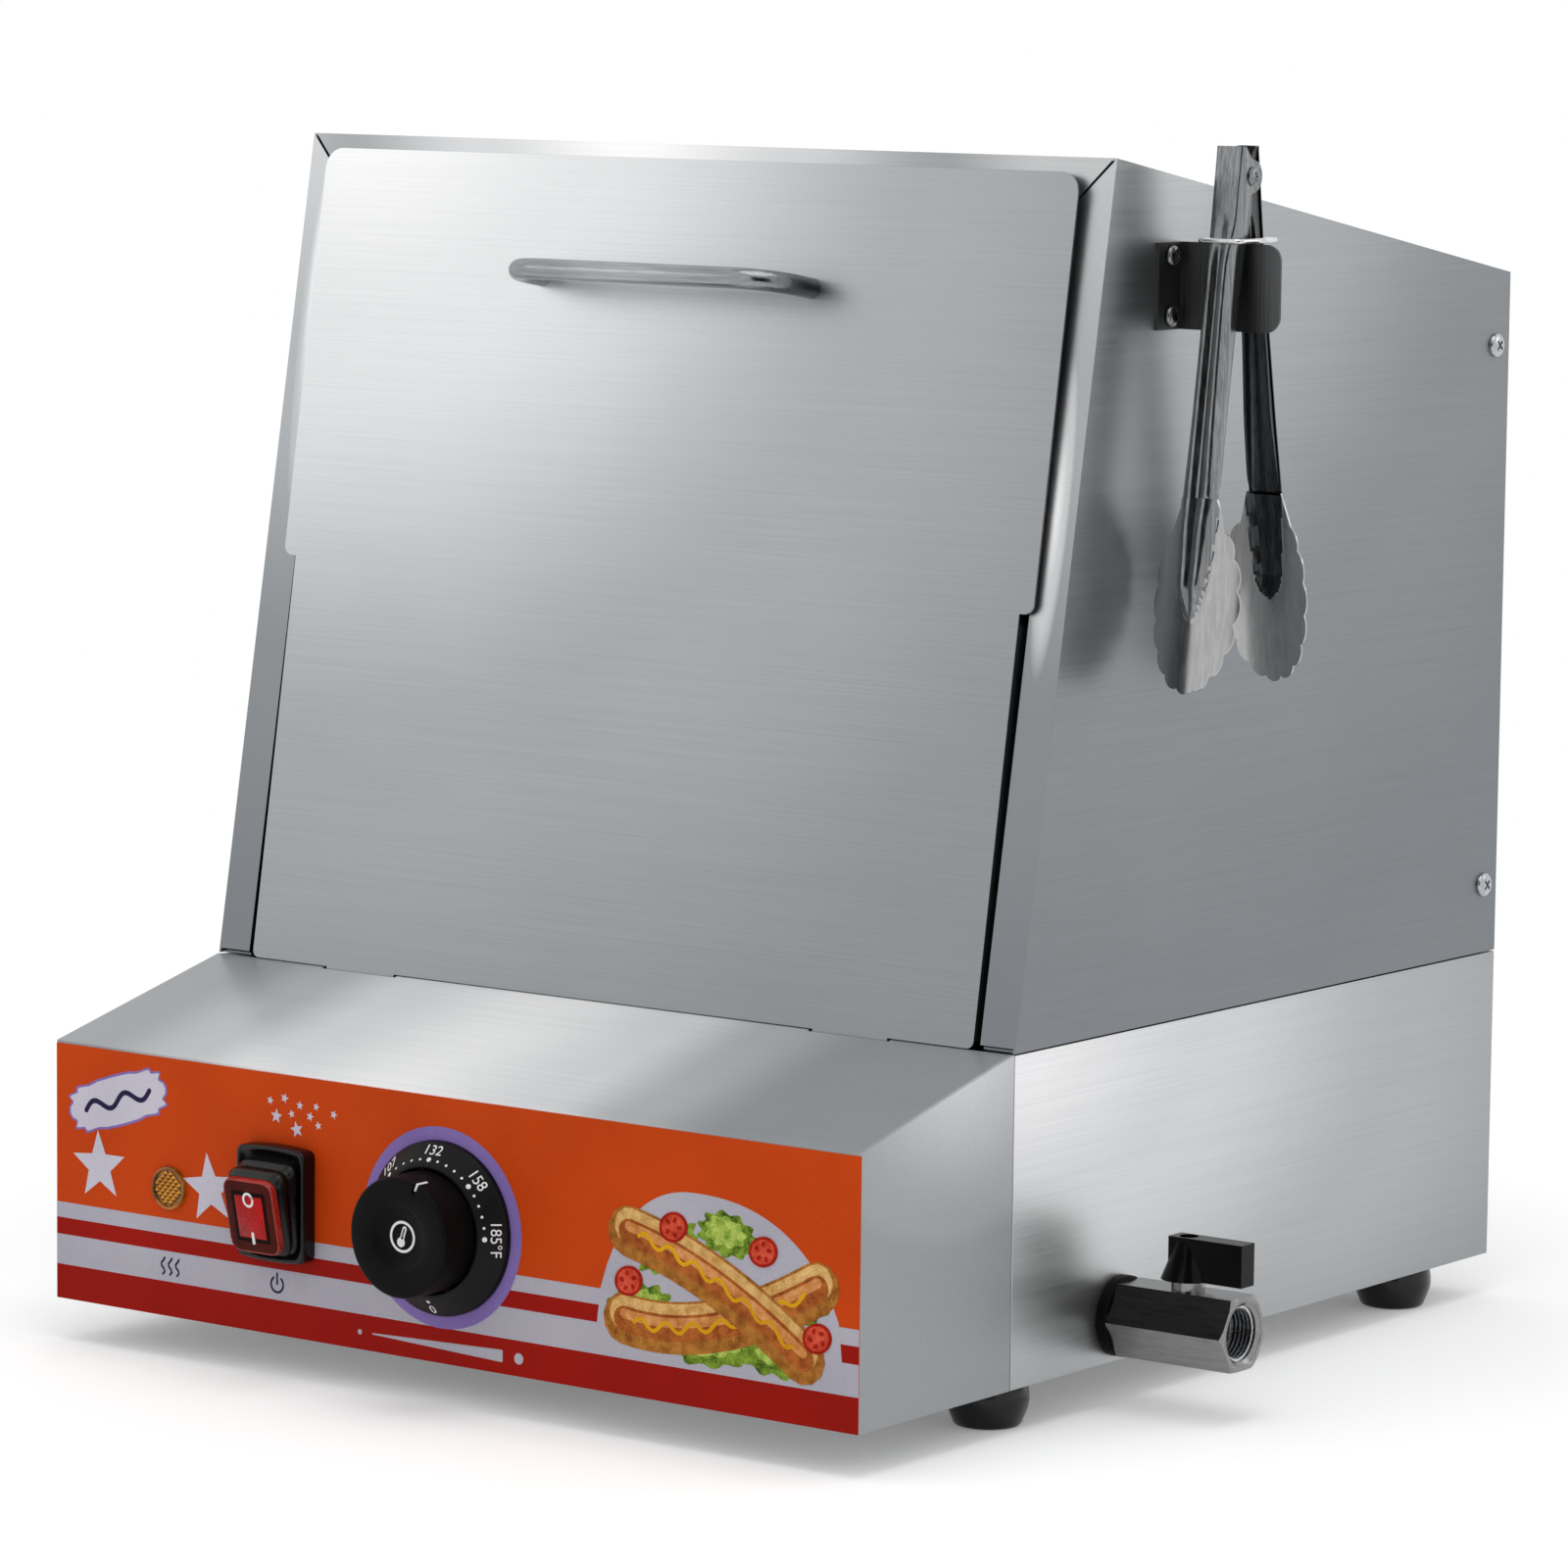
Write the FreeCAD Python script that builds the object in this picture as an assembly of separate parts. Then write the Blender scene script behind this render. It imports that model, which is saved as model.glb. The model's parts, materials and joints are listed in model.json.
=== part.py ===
import FreeCAD, Part
import math
import os
from FreeCAD import Placement, Rotation, Vector

# Counter-top hot dog steamer: a sheet steel cabinet on a water tank, with a control box in front,
# a drop-down door, a drain valve and a pair of tongs on a bracket.
# While it is drawn, x is 0 at the middle of the cabinet, y is 0 at the face of the control box and
# grows to the rear, and z is 0 at the underside of the base. Lengths are millimetres.
# The finished pieces are moved so that the origin is the bottom centre of the whole part.

# Body
body_width = 380.0
body_depth = 430.0
control_height = 100.0
control_depth = 93.0
seam_height = 123.0
front_top_height = 443.0
front_lean = 10.0
roof_fall = 10.0
sheet = 1.0
seam_gap = 0.5
bend_gap = 0.3
overrun = 5.0

# Door opening and its flanges
flange_width = 15.5
top_flange_width = 16.0
flange_foot_gap = 2.0
mitre_gap = 1.2
tank_flange_width = 15.0
rear_flange_width = 20.0

# Door
door_side_gap = 12.0
door_lower_side_gap = 18.0
door_top_gap = 6.3
door_notch_height = 158.0
door_lean_less = 0.75
door_sheet = 1.0
door_return = 8.0
door_top_hem = 2.5
door_corner = 8.0
door_notch_corner = 4.0
door_foot_corner = 3.0
hinge_proud = 0.7
hinge_lift = 0.25
hinge_tab_inner = 100.0
hinge_tab_outer = 134.0
hinge_tab_length = 10.0
hinge_tab_corner = 2.0
hinge_slot_gap = 1.5
hinge_slot_depth = 13.0
hinge_slot_setback = 1.3
liner_side_gap = 3.0
liner_low = 5.0
liner_top_gap = 18.6
liner_depth = 8.0
liner_sheet = 0.8
bumper_radius = 4.0
bumper_spread = 120.0
bumper_below_top = 5.0
soft_gap = 0.3

# Door handle
handle_below_top = 46.6
handle_half_span = 64.0
handle_rod = 4.0
handle_standoff = 26.0
handle_bend = 18.0
handle_screw_radius = 2.0
handle_screw_length = 12.0
screw_gap = 0.05
pan_head_radius = 3.8
pan_head_height = 2.4

# Screws of the cabinet
side_screw_radius = 2.5
side_screw_head_radius = 4.8
side_screw_head_height = 2.3
side_screw_length = 7.0
side_screw_inset = 10.4
side_screw_low = 27.5
side_screw_drop = 28.5

# Trays, rails and divider
rail_clear_width = 23.5
rail_ledge_width = 35.0
rail_step = 12.0
rail_rear_gap = 8.0
rail_front_gap = 10.0
tray_side_gap = 1.0
tray_sheet = 0.8
tray_rear_gap = 18.0
lower_tray_rise = 27.0
lower_tray_depth = 45.0
lower_tray_front = 130.0
upper_tray_rise = 139.0
upper_tray_depth = 38.0
upper_tray_front = 150.0
slot_length_share = 0.17
slot_width = 6.0
slot_columns = 6
slot_rows = 4
slot_pitch = 46.0
divider_sheet = 0.8
divider_rise = 6.0
divider_hook = 12.0
divider_gap = 0.4

# Control box inside
box_flange = 12.0
cover_gap = 0.5
small_screw_radius = 2.0
cover_screw_inset_x = 60.0
cover_screw_length = 3.0
vent_length = 24.0
vent_width = 4.0
vent_pitch = 12.0
vent_count = 8

# Dial, knob and thermostat
dial_x = 1.0
dial_z = 50.5
film = 0.4
bezel_radius = 32.5
bezel_rim = 2.2
bezel_bore = 23.3
bezel_top = 9.5
bezel_lip = 1.2
bezel_shoulder = 2.4
knob_radius = 22.5
knob_reach = 26.0
knob_base = 2.2
knob_edge = 1.2
knob_dish_radius = 12.0
knob_dish_depth = 3.2
knob_dish_floor_share = 0.5
knob_bore_depth = 20.0
knob_pointer_angle = 67.0
knob_pointer_width = 1.8
knob_pointer_depth = 1.5
shaft_radius = 3.0
shaft_clearance = 0.05
shaft_hole = 6.0
knob_bore_gap = 1.0
thermostat_size = 36.0
thermostat_depth = 30.0
thermostat_shaft_inside = 15.0
thermostat_screw_spread = 14.0
thermostat_screw_length = 6.0
flat_head_height = 0.8
capillary_radius = 0.8
capillary_bend = 7.0
capillary_straight = 14.0
capillary_drop = 10.0
bulb_radius = 3.0
bulb_length = 90.0
bulb_start = 180.0

# Rocker switch
switch_x = -76.5
switch_z = 50.9
switch_frame_width = 33.0
switch_frame_height = 44.0
switch_frame_reach = 7.0
switch_frame_corner = 4.0
switch_cut_width = 22.0
switch_cut_height = 30.0
switch_body_depth = 24.0
boot_width = 27.0
boot_height = 35.0
boot_step = 1.6
boot_step_inset = 1.6
boot_wall = 2.4
boot_steps = 2
rocker_width = 24.0
rocker_height = 29.0
rocker_thick = 3.0
rocker_tilt = 12.0
rocker_reach = 18.0
rocker_corner = 5.0
rocker_stem_width = 12.0
rocker_stem_height = 10.0
rocker_axle_radius = 1.5
rocker_axle_place = 1.5
rocker_stem_low = 3.0
rocker_well = 14.0
rocker_axle_length = 16.0
switch_wall = 2.0
switch_tab_width = 6.0
switch_tab_thick = 1.0
switch_tab_length = 6.0

# Pilot lamp
lamp_x = -132.0
lamp_z = 49.5
lamp_flange_radius = 8.2
lamp_flange = 2.0
lamp_dome = 3.2
lamp_facet_share = 0.6
lamp_hole = 5.0
lamp_barrel_length = 24.0

# Heating element and tank fittings
element_radius = 4.0
element_half_span = 60.0
element_height = 25.3
element_bend = 34.0
element_rear_gap = 45.0
element_front_reach = 30.0
terminal_pin_radius = 1.8
terminal_pin_length = 10.0
gland_thread = 6.4
gland_nut = 9.5
gland_nut_thick = 7.0
gland_collar = 9.0
gland_collar_thick = 3.0
support_width = 15.0
support_half_length = 75.0
support_places = (105.0, 235.0)
bulb_gland_radius = 3.5
gland_lip = 1.0
cutout_x = 110.0
cutout_z = 60.0
cutout_radius = 9.0
cutout_thick = 8.0
cutout_tab = 13.0
cutout_tab_thick = 1.2
terminal_block_x = -120.0
terminal_block_y = 50.0
terminal_block_size = (50.0, 20.0, 18.0)
terminal_count = 4
terminal_well = 5.2
terminal_well_depth = 9.0
cord_gland_y = 60.0
cord_gland_z = 30.0
cord_gland_radius = 9.5
cord_gland_reach = 10.0
cord_gland_neck = 8.0
cord_gland_bore = 3.9
cord_gland_nut = 5.0

# Drain valve
drain_y = 163.0
drain_z = 17.0
drain_thread = 10.4
drain_hole = 10.6
washer_radius = 15.2
washer_thick = 4.6
drain_nut_flats = 25.0
drain_nut_thick = 5.0
valve_flats = 27.0
valve_end = 55.0
valve_chamfer = 1.6
thread_proud = 1.0
valve_port = 9.3
valve_port_depth = 12.0
valve_through = 6.4
valve_inlet = 7.6
valve_inlet_depth = 7.0
stem_place = 30.5
ball_radius = 8.5
ball_bands = 6
ball_bore = 6.0
ball_gap = 0.3
seat_thick = 2.6
seat_gap = 0.06
retainer_thick = 3.5
stem_radius = 3.5
stem_clearance = 0.06
stem_tang = 3.0
stem_tang_depth = 2.4
stem_tang_half = 2.8
boss_radius = 6.3
boss_height = 3.6
lever_gap = 0.5
lever_length = 25.7
lever_tail = 6.2
lever_height = 15.8
lever_thick = 8.6
lever_hub_radius = 10.2
lever_edge = 1.0
lever_screw_hole = 3.6
lever_screw_depth = 5.0
lever_screw_shank = 1.5
lever_screw_length = 6.8

# Feet
foot_height = 16.5
foot_radius = 15.5
foot_top_radius = 14.4
foot_bottom_radius = 12.0
foot_belly = 8.0
foot_side_inset = 18.0
foot_front_inset = 12.0
foot_rear_inset = 43.0
stud_radius = 2.5
stud_length = 12.0
foot_recess_radius = 6.0
foot_recess_depth = 8.5
stud_gap = 0.2
foot_nut_radius = 4.6
foot_nut_height = 3.6

# Tong bracket
bracket_sheet = 1.2
bracket_y = 192.4
bracket_tab = 16.4
bracket_reach = 43.7
bracket_below_top = 31.0
bracket_height = 32.0
bracket_corner = 6.0
bracket_screw_length = 7.0
bracket_screw_inset = 8.2
bracket_screw_edge = 5.0

# Tongs
tong_reach = 25.0
tong_pivot_rise = 24.5
tong_angle = 7.5
tong_sheet = 1.0
tong_web = 8.0
tong_rise = 10.0
tong_channel = 117.0
tong_top_half = 6.0
tong_low_half = 8.3
tong_nested_top_half = 4.6
tong_nested_low_half = 7.4
tong_flange_low = 5.0
tong_crotch = 14.0
tong_crotch_inner = 1.0
tong_eye = 6.2
tong_head_half = 17.6
tong_head_length = 72.0
tong_head_round = 45.0
tong_scallops = 11
tong_scallop_bulge = 1.4
rivet_radius = 2.0
rivet_clearance = 0.06
rivet_head_radius = 3.6
rivet_head = 1.2
ring_wire = 1.0
ring_half_x = 9.0
ring_half_y = 12.6
spring_leaf = 0.4
spring_half_width = 3.0
spring_reach = 30.0
spring_top = 6.0
spring_half_gap = 3.2

half_width = body_width / 2
inner_half = half_width - sheet
lean_tan = math.tan(math.radians(front_lean))
roof_tan = math.tan(math.radians(roof_fall))
front_slope = (front_top_height - seam_height) / math.cos(math.radians(front_lean))
front_top_depth = control_depth + (front_top_height - seam_height) * lean_tan
rear_top_height = front_top_height - (body_depth - front_top_depth) * roof_tan
opening_half = half_width - flange_width
tank_front = control_depth + seam_gap / 2
tank_top = seam_height - seam_gap / 2
cabinet_foot = seam_height + seam_gap / 2
valve_x = half_width + washer_thick
stem_x = half_width + stem_place
lever_low = drain_z + valve_flats / 2 + boss_height + lever_gap
bulb_height = element_height - element_radius + bulb_radius
door_half_width = half_width - door_side_gap
door_lower_half_width = half_width - door_lower_side_gap
door_height = front_slope - door_top_gap
handle_height = door_height - handle_below_top
liner_half_width = door_lower_half_width - liner_side_gap
liner_high = door_height - liner_top_gap
rail_clear_half = half_width - rail_clear_width
rail_ledge_half = half_width - rail_ledge_width
tray_half_width = rail_clear_half - tray_side_gap
tray_rear = body_depth - tray_rear_gap
lower_tray_floor = seam_height + lower_tray_rise
upper_tray_floor = seam_height + upper_tray_rise
bracket_high = front_top_height - bracket_below_top
bracket_low = bracket_high - bracket_height
tong_x = half_width + tong_reach
tong_pivot_z = bracket_high + tong_pivot_rise
tong_plane = bracket_y - bracket_sheet / 2
tong_pivot = Vector(tong_x, tong_plane, tong_pivot_z)

X = Vector(1, 0, 0)
Y = Vector(0, 1, 0)
Z = Vector(0, 0, 1)

# Frames: local X runs to the right, local Y up the sheet and local Z out of it
panel_frame = Placement(Vector(0, 0, 0), Rotation(X, 90))
flange_frame = Placement(Vector(0, control_depth, seam_height), Rotation(X, 90 - front_lean))
door_axis = Vector(0, control_depth - hinge_proud, seam_height + hinge_lift)
door_frame = Placement(door_axis, Rotation(X, 90 - front_lean + door_lean_less))
side_frame = Rotation(Y, 90)


def block(low, high):
    return Part.makeBox(high[0] - low[0], high[1] - low[1], high[2] - low[2], Vector(*low))


def rod(radius, start, end):
    run = end - start
    return Part.makeCylinder(radius, run.Length, start, run)


def sleeve(outer, inner, start, end):
    return rod(outer, start, end).cut(rod(inner, start, end))


def prism(points, run):
    return Part.Face(Part.makePolygon(points + [points[0]])).extrude(run)


def side_prism(outline, low, high):
    return prism([Vector(low, y, z) for y, z in outline], Vector(high - low, 0, 0))


def cross_prism(outline, low, high):
    return prism([Vector(x, low, z) for x, z in outline], Vector(0, high - low, 0))


def round_path(points, bend):
    """Straight runs joined by tangent arcs of one radius."""
    ends = {}
    for i in range(1, len(points) - 1):
        back = (points[i - 1] - points[i]).normalize()
        ahead = (points[i + 1] - points[i]).normalize()
        half = back.getAngle(ahead) / 2
        reach = bend / math.tan(half)
        mid = (back + ahead).normalize() * (bend / math.sin(half) - bend)
        ends[i] = (points[i] + back * reach, points[i] + mid, points[i] + ahead * reach)
    edges = []
    for i in range(len(points) - 1):
        start = ends[i][2] if i in ends else points[i]
        stop = ends[i + 1][0] if i + 1 in ends else points[i + 1]
        edges.append(Part.LineSegment(start, stop).toShape())
        if i + 1 in ends:
            edges.append(Part.Arc(*ends[i + 1]).toShape())
    return Part.Wire(edges)


def bent_rod(points, radius, bend):
    """Round bar along straight runs and tangent arcs."""
    path = round_path(points, bend)
    first = path.Edges[0]
    tangent = first.tangentAt(first.FirstParameter)
    disc = Part.Wire(Part.makeCircle(radius, points[0], tangent))
    return path.makePipeShell([disc], True, False)


def rounded_face(corners):
    """Face in the local XY plane; each corner is (x, y, radius)."""
    count = len(corners)
    points = [Vector(x, y, 0) for x, y, radius in corners]
    arcs = []
    for i, (x, y, radius) in enumerate(corners):
        if radius == 0:
            arcs.append((points[i], None, points[i]))
            continue
        back = (points[i - 1] - points[i]).normalize()
        ahead = (points[(i + 1) % count] - points[i]).normalize()
        half = back.getAngle(ahead) / 2
        reach = radius / math.tan(half)
        mid = (back + ahead).normalize() * (radius / math.sin(half) - radius)
        arcs.append((points[i] + back * reach, points[i] + mid, points[i] + ahead * reach))
    edges = []
    for i in range(count):
        first, mid, last = arcs[i]
        if mid is not None:
            edges.append(Part.Arc(first, mid, last).toShape())
        edges.append(Part.LineSegment(last, arcs[(i + 1) % count][0]).toShape())
    return Part.Face(Part.Wire(edges))


def rounded_block(width, height, corner, low, high, x=0, y=0):
    """Block with four round corners along local Z."""
    corners = []
    for sx, sy in ((-1, -1), (1, -1), (1, 1), (-1, 1)):
        corners.append((x + sx * width / 2, y + sy * height / 2, corner))
    solid = rounded_face(corners).extrude(Vector(0, 0, high - low))
    solid.translate(Vector(0, 0, low))
    return solid


def turned(profile):
    """Solid of revolution about local Z from (radius, height) points."""
    points = [Vector(radius, 0, height) for radius, height in profile]
    return Part.Face(Part.makePolygon(points + [points[0]])).revolve(Vector(0, 0, 0), Z, 360)


def placed(shape, placement):
    moved = shape.copy()
    moved.Placement = placement.multiply(moved.Placement)
    return moved


def on_panel(shape, x, z):
    """Local Z points out of the control panel."""
    return placed(placed(shape, Placement(Vector(x, z, 0), Rotation())), panel_frame)


def along_x(shape, x, y, z):
    """Local Z points to +X."""
    return placed(shape, Placement(Vector(x, y, z), side_frame))


def hexagon(flats, low, high):
    """Hexagonal bar along local Z with two flats square to local X."""
    radius = flats / math.sqrt(3)
    points = []
    for i in range(6):
        angle = math.tau * i / 6
        points.append(Vector(radius * math.sin(angle), radius * math.cos(angle), low))
    return prism(points, Vector(0, 0, high - low))


def group(shapes):
    return Part.makeCompound(shapes)


def mirrored(shape):
    return shape.mirror(Vector(0, 0, 0), X)


def pan_screw(radius, length, head_radius, head_height):
    """Screw along local Z with its head above z 0."""
    head = Part.makeCylinder(head_radius, head_height)
    return head.fuse(Part.makeCylinder(radius, length, -Z * length)).removeSplitter()


# Tank, which is also the base


def tank_side_wall():
    wall = block((inner_half, tank_front, 0), (half_width, body_depth, tank_top))
    flange = block((half_width - tank_flange_width, tank_front + sheet, tank_top - sheet),
                   (inner_half, body_depth - sheet, tank_top))
    return wall.fuse(flange).removeSplitter()


def tank_right_wall():
    hole = rod(drain_hole, Vector(inner_half - overrun, drain_y, drain_z),
               Vector(half_width + overrun, drain_y, drain_z))
    return tank_side_wall().cut(hole)


def tank_left_wall():
    return mirrored(tank_side_wall())


def tank_rear_wall():
    wall = block((-inner_half, body_depth - sheet, 0), (inner_half, body_depth, tank_top))
    edge = half_width - tank_flange_width
    flange = block((-edge, body_depth - tank_flange_width, tank_top - sheet),
                   (edge, body_depth - sheet, tank_top))
    return wall.fuse(flange).removeSplitter()


def tank_front_wall():
    wall = block((-inner_half, tank_front, 0), (inner_half, tank_front + sheet, tank_top))
    cuts = []
    for side in (-1, 1):
        first = side * (hinge_tab_inner - hinge_slot_gap)
        last = side * (hinge_tab_outer + hinge_slot_gap)
        cuts.append(block((min(first, last), tank_front - overrun, tank_top - hinge_slot_depth),
                          (max(first, last), tank_front + overrun, tank_top + overrun)))
        cuts.append(rod(gland_thread, Vector(side * element_half_span, tank_front - overrun, element_height),
                        Vector(side * element_half_span, tank_front + overrun, element_height)))
    cuts.append(rod(bulb_gland_radius, Vector(0, tank_front - overrun, bulb_height),
                    Vector(0, tank_front + overrun, bulb_height)))
    return wall.cut(cuts)


def foot_places():
    x = half_width - foot_side_inset
    rows = (control_depth + foot_front_inset, body_depth - foot_rear_inset)
    return [Vector(side * x, y, 0) for side in (-1, 1) for y in rows]


def tank_floor():
    floor = block((-inner_half, tank_front + sheet, 0), (inner_half, body_depth - sheet, sheet))
    studs = [rod(stud_radius, place + Z * (sheet / 2), place - Z * stud_length) for place in foot_places()]
    return floor.fuse(studs).removeSplitter()


def feet():
    recess = foot_recess_depth - foot_height
    hole = stud_radius + stud_gap
    foot = turned([(hole, 0), (foot_top_radius, 0), (foot_radius, -foot_belly), (foot_bottom_radius, -foot_height),
                   (foot_recess_radius, -foot_height), (foot_recess_radius, recess), (hole, recess)])
    return group([foot.translated(place) for place in foot_places()])


def foot_nuts():
    top = foot_recess_depth - foot_height
    nut = hexagon(foot_nut_radius * math.sqrt(3), top - foot_nut_height, top)
    nut = nut.cut(rod(stud_radius + screw_gap, Vector(0, 0, top - foot_height), Vector(0, 0, overrun)))
    return group([nut.translated(place) for place in foot_places()])


# Control box


def box_outline(inset):
    """Side outline of the control box, its front and slope moved in by the inset."""
    slope = (seam_height - control_height) / control_depth
    drop = inset * math.sqrt(1 + slope ** 2)
    rear = control_depth - seam_gap / 2
    return [(inset, 0), (rear, 0), (rear, control_height + slope * rear - drop),
            (inset, control_height + slope * inset - drop)]


def panel_openings(low, high):
    """Cuts for the dial shaft, the switch and the lamp, from one depth of the panel to another."""
    shaft = Part.makeCylinder(shaft_hole, high - low, Vector(dial_x, dial_z, low))
    lamp = Part.makeCylinder(lamp_hole + screw_gap, high - low, Vector(lamp_x, lamp_z, low))
    switch = Part.makeBox(switch_cut_width, switch_cut_height, high - low,
                          Vector(switch_x - switch_cut_width / 2, switch_z - switch_cut_height / 2, low))
    return [placed(shape, panel_frame) for shape in (shaft, lamp, switch)]


def control_box_shell():
    shell = side_prism(box_outline(0), -half_width, half_width)
    inner = [(y, z) for y, z in box_outline(sheet)]
    inner[0] = (sheet, sheet)
    inner[1] = (control_depth + overrun, sheet)
    inner[2] = (control_depth + overrun, inner[2][1])
    shell = shell.cut(side_prism(inner, -inner_half, inner_half))
    edge = inner_half - box_flange
    shell = shell.cut(block((-edge, sheet + box_flange, -overrun), (edge, control_depth, sheet + overrun)))
    cuts = panel_openings(-sheet - overrun, overrun)
    for side in (-1, 1):
        first = side * (hinge_tab_inner - hinge_slot_gap)
        last = side * (hinge_tab_outer + hinge_slot_gap)
        cuts.append(block((min(first, last), control_depth - hinge_slot_setback - hinge_proud, control_height),
                          (max(first, last), control_depth + overrun, seam_height + overrun)))
    cuts.append(rod(cord_gland_neck + screw_gap, Vector(-half_width - overrun, cord_gland_y, cord_gland_z),
                    Vector(-inner_half + overrun, cord_gland_y, cord_gland_z)))
    for x, y in cover_screw_places():
        cuts.append(rod(small_screw_radius + screw_gap, Vector(x, y, -overrun), Vector(x, y, sheet + overrun)))
    for side in (-1, 1):
        hole = Vector(dial_x + side * thermostat_screw_spread, 0, dial_z)
        cuts.append(rod(small_screw_radius + screw_gap, hole - Y * overrun, hole + Y * overrun))
    return shell.cut(cuts)


def cover_screw_places():
    places = []
    for side in (-1, 1):
        places.append((side * cover_screw_inset_x, sheet + box_flange / 2))
        places.append((side * (inner_half - box_flange / 2), control_depth / 2))
    return places


def control_box_bottom_cover():
    edge = inner_half - cover_gap
    cover = block((-edge, sheet + cover_gap, sheet), (edge, control_depth - seam_gap - cover_gap, sheet * 2))
    cuts = []
    for x, y in cover_screw_places():
        cuts.append(rod(small_screw_radius + screw_gap, Vector(x, y, 0), Vector(x, y, overrun)))
    for i in range(vent_count):
        x = (i - (vent_count - 1) / 2) * vent_pitch
        cuts.append(block((x - vent_width / 2, (control_depth - vent_length) / 2, 0),
                          (x + vent_width / 2, (control_depth + vent_length) / 2, overrun)))
    return cover.cut(cuts)


def control_box_screws():
    screws = []
    screw = pan_screw(small_screw_radius, cover_screw_length, pan_head_radius, flat_head_height)
    for x, y in cover_screw_places():
        screws.append(placed(screw, Placement(Vector(x, y, 0), Rotation(X, 180))))
    long_screw = pan_screw(small_screw_radius, thermostat_screw_length, pan_head_radius, flat_head_height)
    for side in (-1, 1):
        screws.append(on_panel(long_screw, dial_x + side * thermostat_screw_spread, dial_z))
    return group(screws)


def control_panel_overlay():
    film_sheet = block((-half_width, -film, 0), (half_width, 0, control_height - sheet))
    cuts = panel_openings(-overrun, overrun)
    for side in (-1, 1):
        hole = Vector(dial_x + side * thermostat_screw_spread, 0, dial_z)
        cuts.append(rod(pan_head_radius + soft_gap, hole - Y * overrun, hole + Y * overrun))
    return film_sheet.cut(cuts)


# Dial and thermostat


def dial_bezel():
    shoulder = bezel_radius - bezel_shoulder
    ring = turned([(bezel_bore, film), (bezel_radius, film), (bezel_radius, film + bezel_rim),
                   (shoulder, film + bezel_rim + bezel_shoulder), (bezel_bore + bezel_lip, bezel_top),
                   (bezel_bore, bezel_top)])
    return on_panel(ring, dial_x, dial_z)


def thermostat_knob():
    base = film + knob_base
    body = turned([(0, base), (knob_radius, base), (knob_radius, knob_reach - knob_edge),
                   (knob_radius - knob_edge, knob_reach), (0, knob_reach)])
    floor = knob_reach - knob_dish_depth
    dish = turned([(0, floor), (knob_dish_radius * knob_dish_floor_share, floor),
                   (knob_dish_radius, knob_reach), (0, knob_reach)])
    bore = Part.makeCylinder(shaft_radius + screw_gap, knob_bore_depth, Vector(0, 0, base))
    notch = Part.makeBox(knob_pointer_depth + overrun, knob_pointer_width, knob_pointer_depth + overrun,
                         Vector(knob_radius - knob_pointer_depth, -knob_pointer_width / 2,
                                knob_reach - knob_pointer_depth))
    notch.rotate(Vector(0, 0, 0), Z, knob_pointer_angle)
    return on_panel(body.cut([dish, bore, notch]), dial_x, dial_z)


def thermostat_shaft():
    low = -sheet - thermostat_shaft_inside
    high = film + knob_base + knob_bore_depth - knob_bore_gap
    return on_panel(Part.makeCylinder(shaft_radius, high - low, Vector(0, 0, low)), dial_x, dial_z)


def thermostat_body():
    rear = -sheet - thermostat_depth
    body = Part.makeBox(thermostat_size, thermostat_size, thermostat_depth,
                        Vector(-thermostat_size / 2, -thermostat_size / 2, rear))
    bore_depth = thermostat_shaft_inside + knob_bore_gap
    cuts = [Part.makeCylinder(shaft_radius + shaft_clearance, bore_depth, Vector(0, 0, -sheet - bore_depth))]
    for side in (-1, 1):
        cuts.append(Part.makeCylinder(small_screw_radius + screw_gap, thermostat_screw_length,
                                      Vector(side * thermostat_screw_spread, 0, -sheet - thermostat_screw_length)))
    return on_panel(body.cut(cuts), dial_x, dial_z)


def thermostat_bulb():
    start = Vector(0, sheet + thermostat_depth, dial_z - capillary_drop)
    turn = start + Y * capillary_straight
    entry = Vector(0, tank_front - capillary_straight, bulb_height)
    wire = bent_rod([start, turn, entry, Vector(0, bulb_start, bulb_height)], capillary_radius, capillary_bend)
    bulb = rod(bulb_radius, Vector(0, bulb_start - screw_gap, bulb_height),
               Vector(0, bulb_start + bulb_length, bulb_height))
    return wire.fuse(bulb).removeSplitter()


def capillary_gland():
    inner = capillary_radius + screw_gap
    gland = turned([(inner, 0), (bulb_gland_radius + gland_lip, 0),
                    (bulb_gland_radius + gland_lip, gland_collar_thick),
                    (bulb_gland_radius - screw_gap, gland_collar_thick),
                    (bulb_gland_radius - screw_gap, gland_collar_thick + sheet + gland_lip),
                    (inner, gland_collar_thick + sheet + gland_lip)])
    front = tank_front - gland_collar_thick
    return placed(gland, Placement(Vector(0, front, bulb_height), Rotation(X, -90)))


# Switch


def switch_frame():
    base = rounded_block(switch_frame_width, switch_frame_height, switch_frame_corner, film,
                         film + switch_frame_reach)
    base = base.cut(Part.makeBox(switch_cut_width, switch_cut_height, switch_frame_reach + overrun,
                                 Vector(-switch_cut_width / 2, -switch_cut_height / 2, 0)))
    steps = []
    for i in range(boot_steps):
        low = film + switch_frame_reach + i * boot_step
        inset = i * boot_step_inset
        step = rounded_block(boot_width - inset, boot_height - inset, switch_frame_corner - inset, low,
                             low + boot_step)
        steps.append(step)
    boot = steps[0].fuse(steps[1:])
    hollow = Part.makeBox(boot_width - 2 * boot_wall, boot_height - 2 * boot_wall, 2 * overrun,
                          Vector(boot_wall - boot_width / 2, boot_wall - boot_height / 2,
                                 film + switch_frame_reach - overrun))
    return on_panel(base.fuse(boot).removeSplitter().cut(hollow), switch_x, switch_z)


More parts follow.
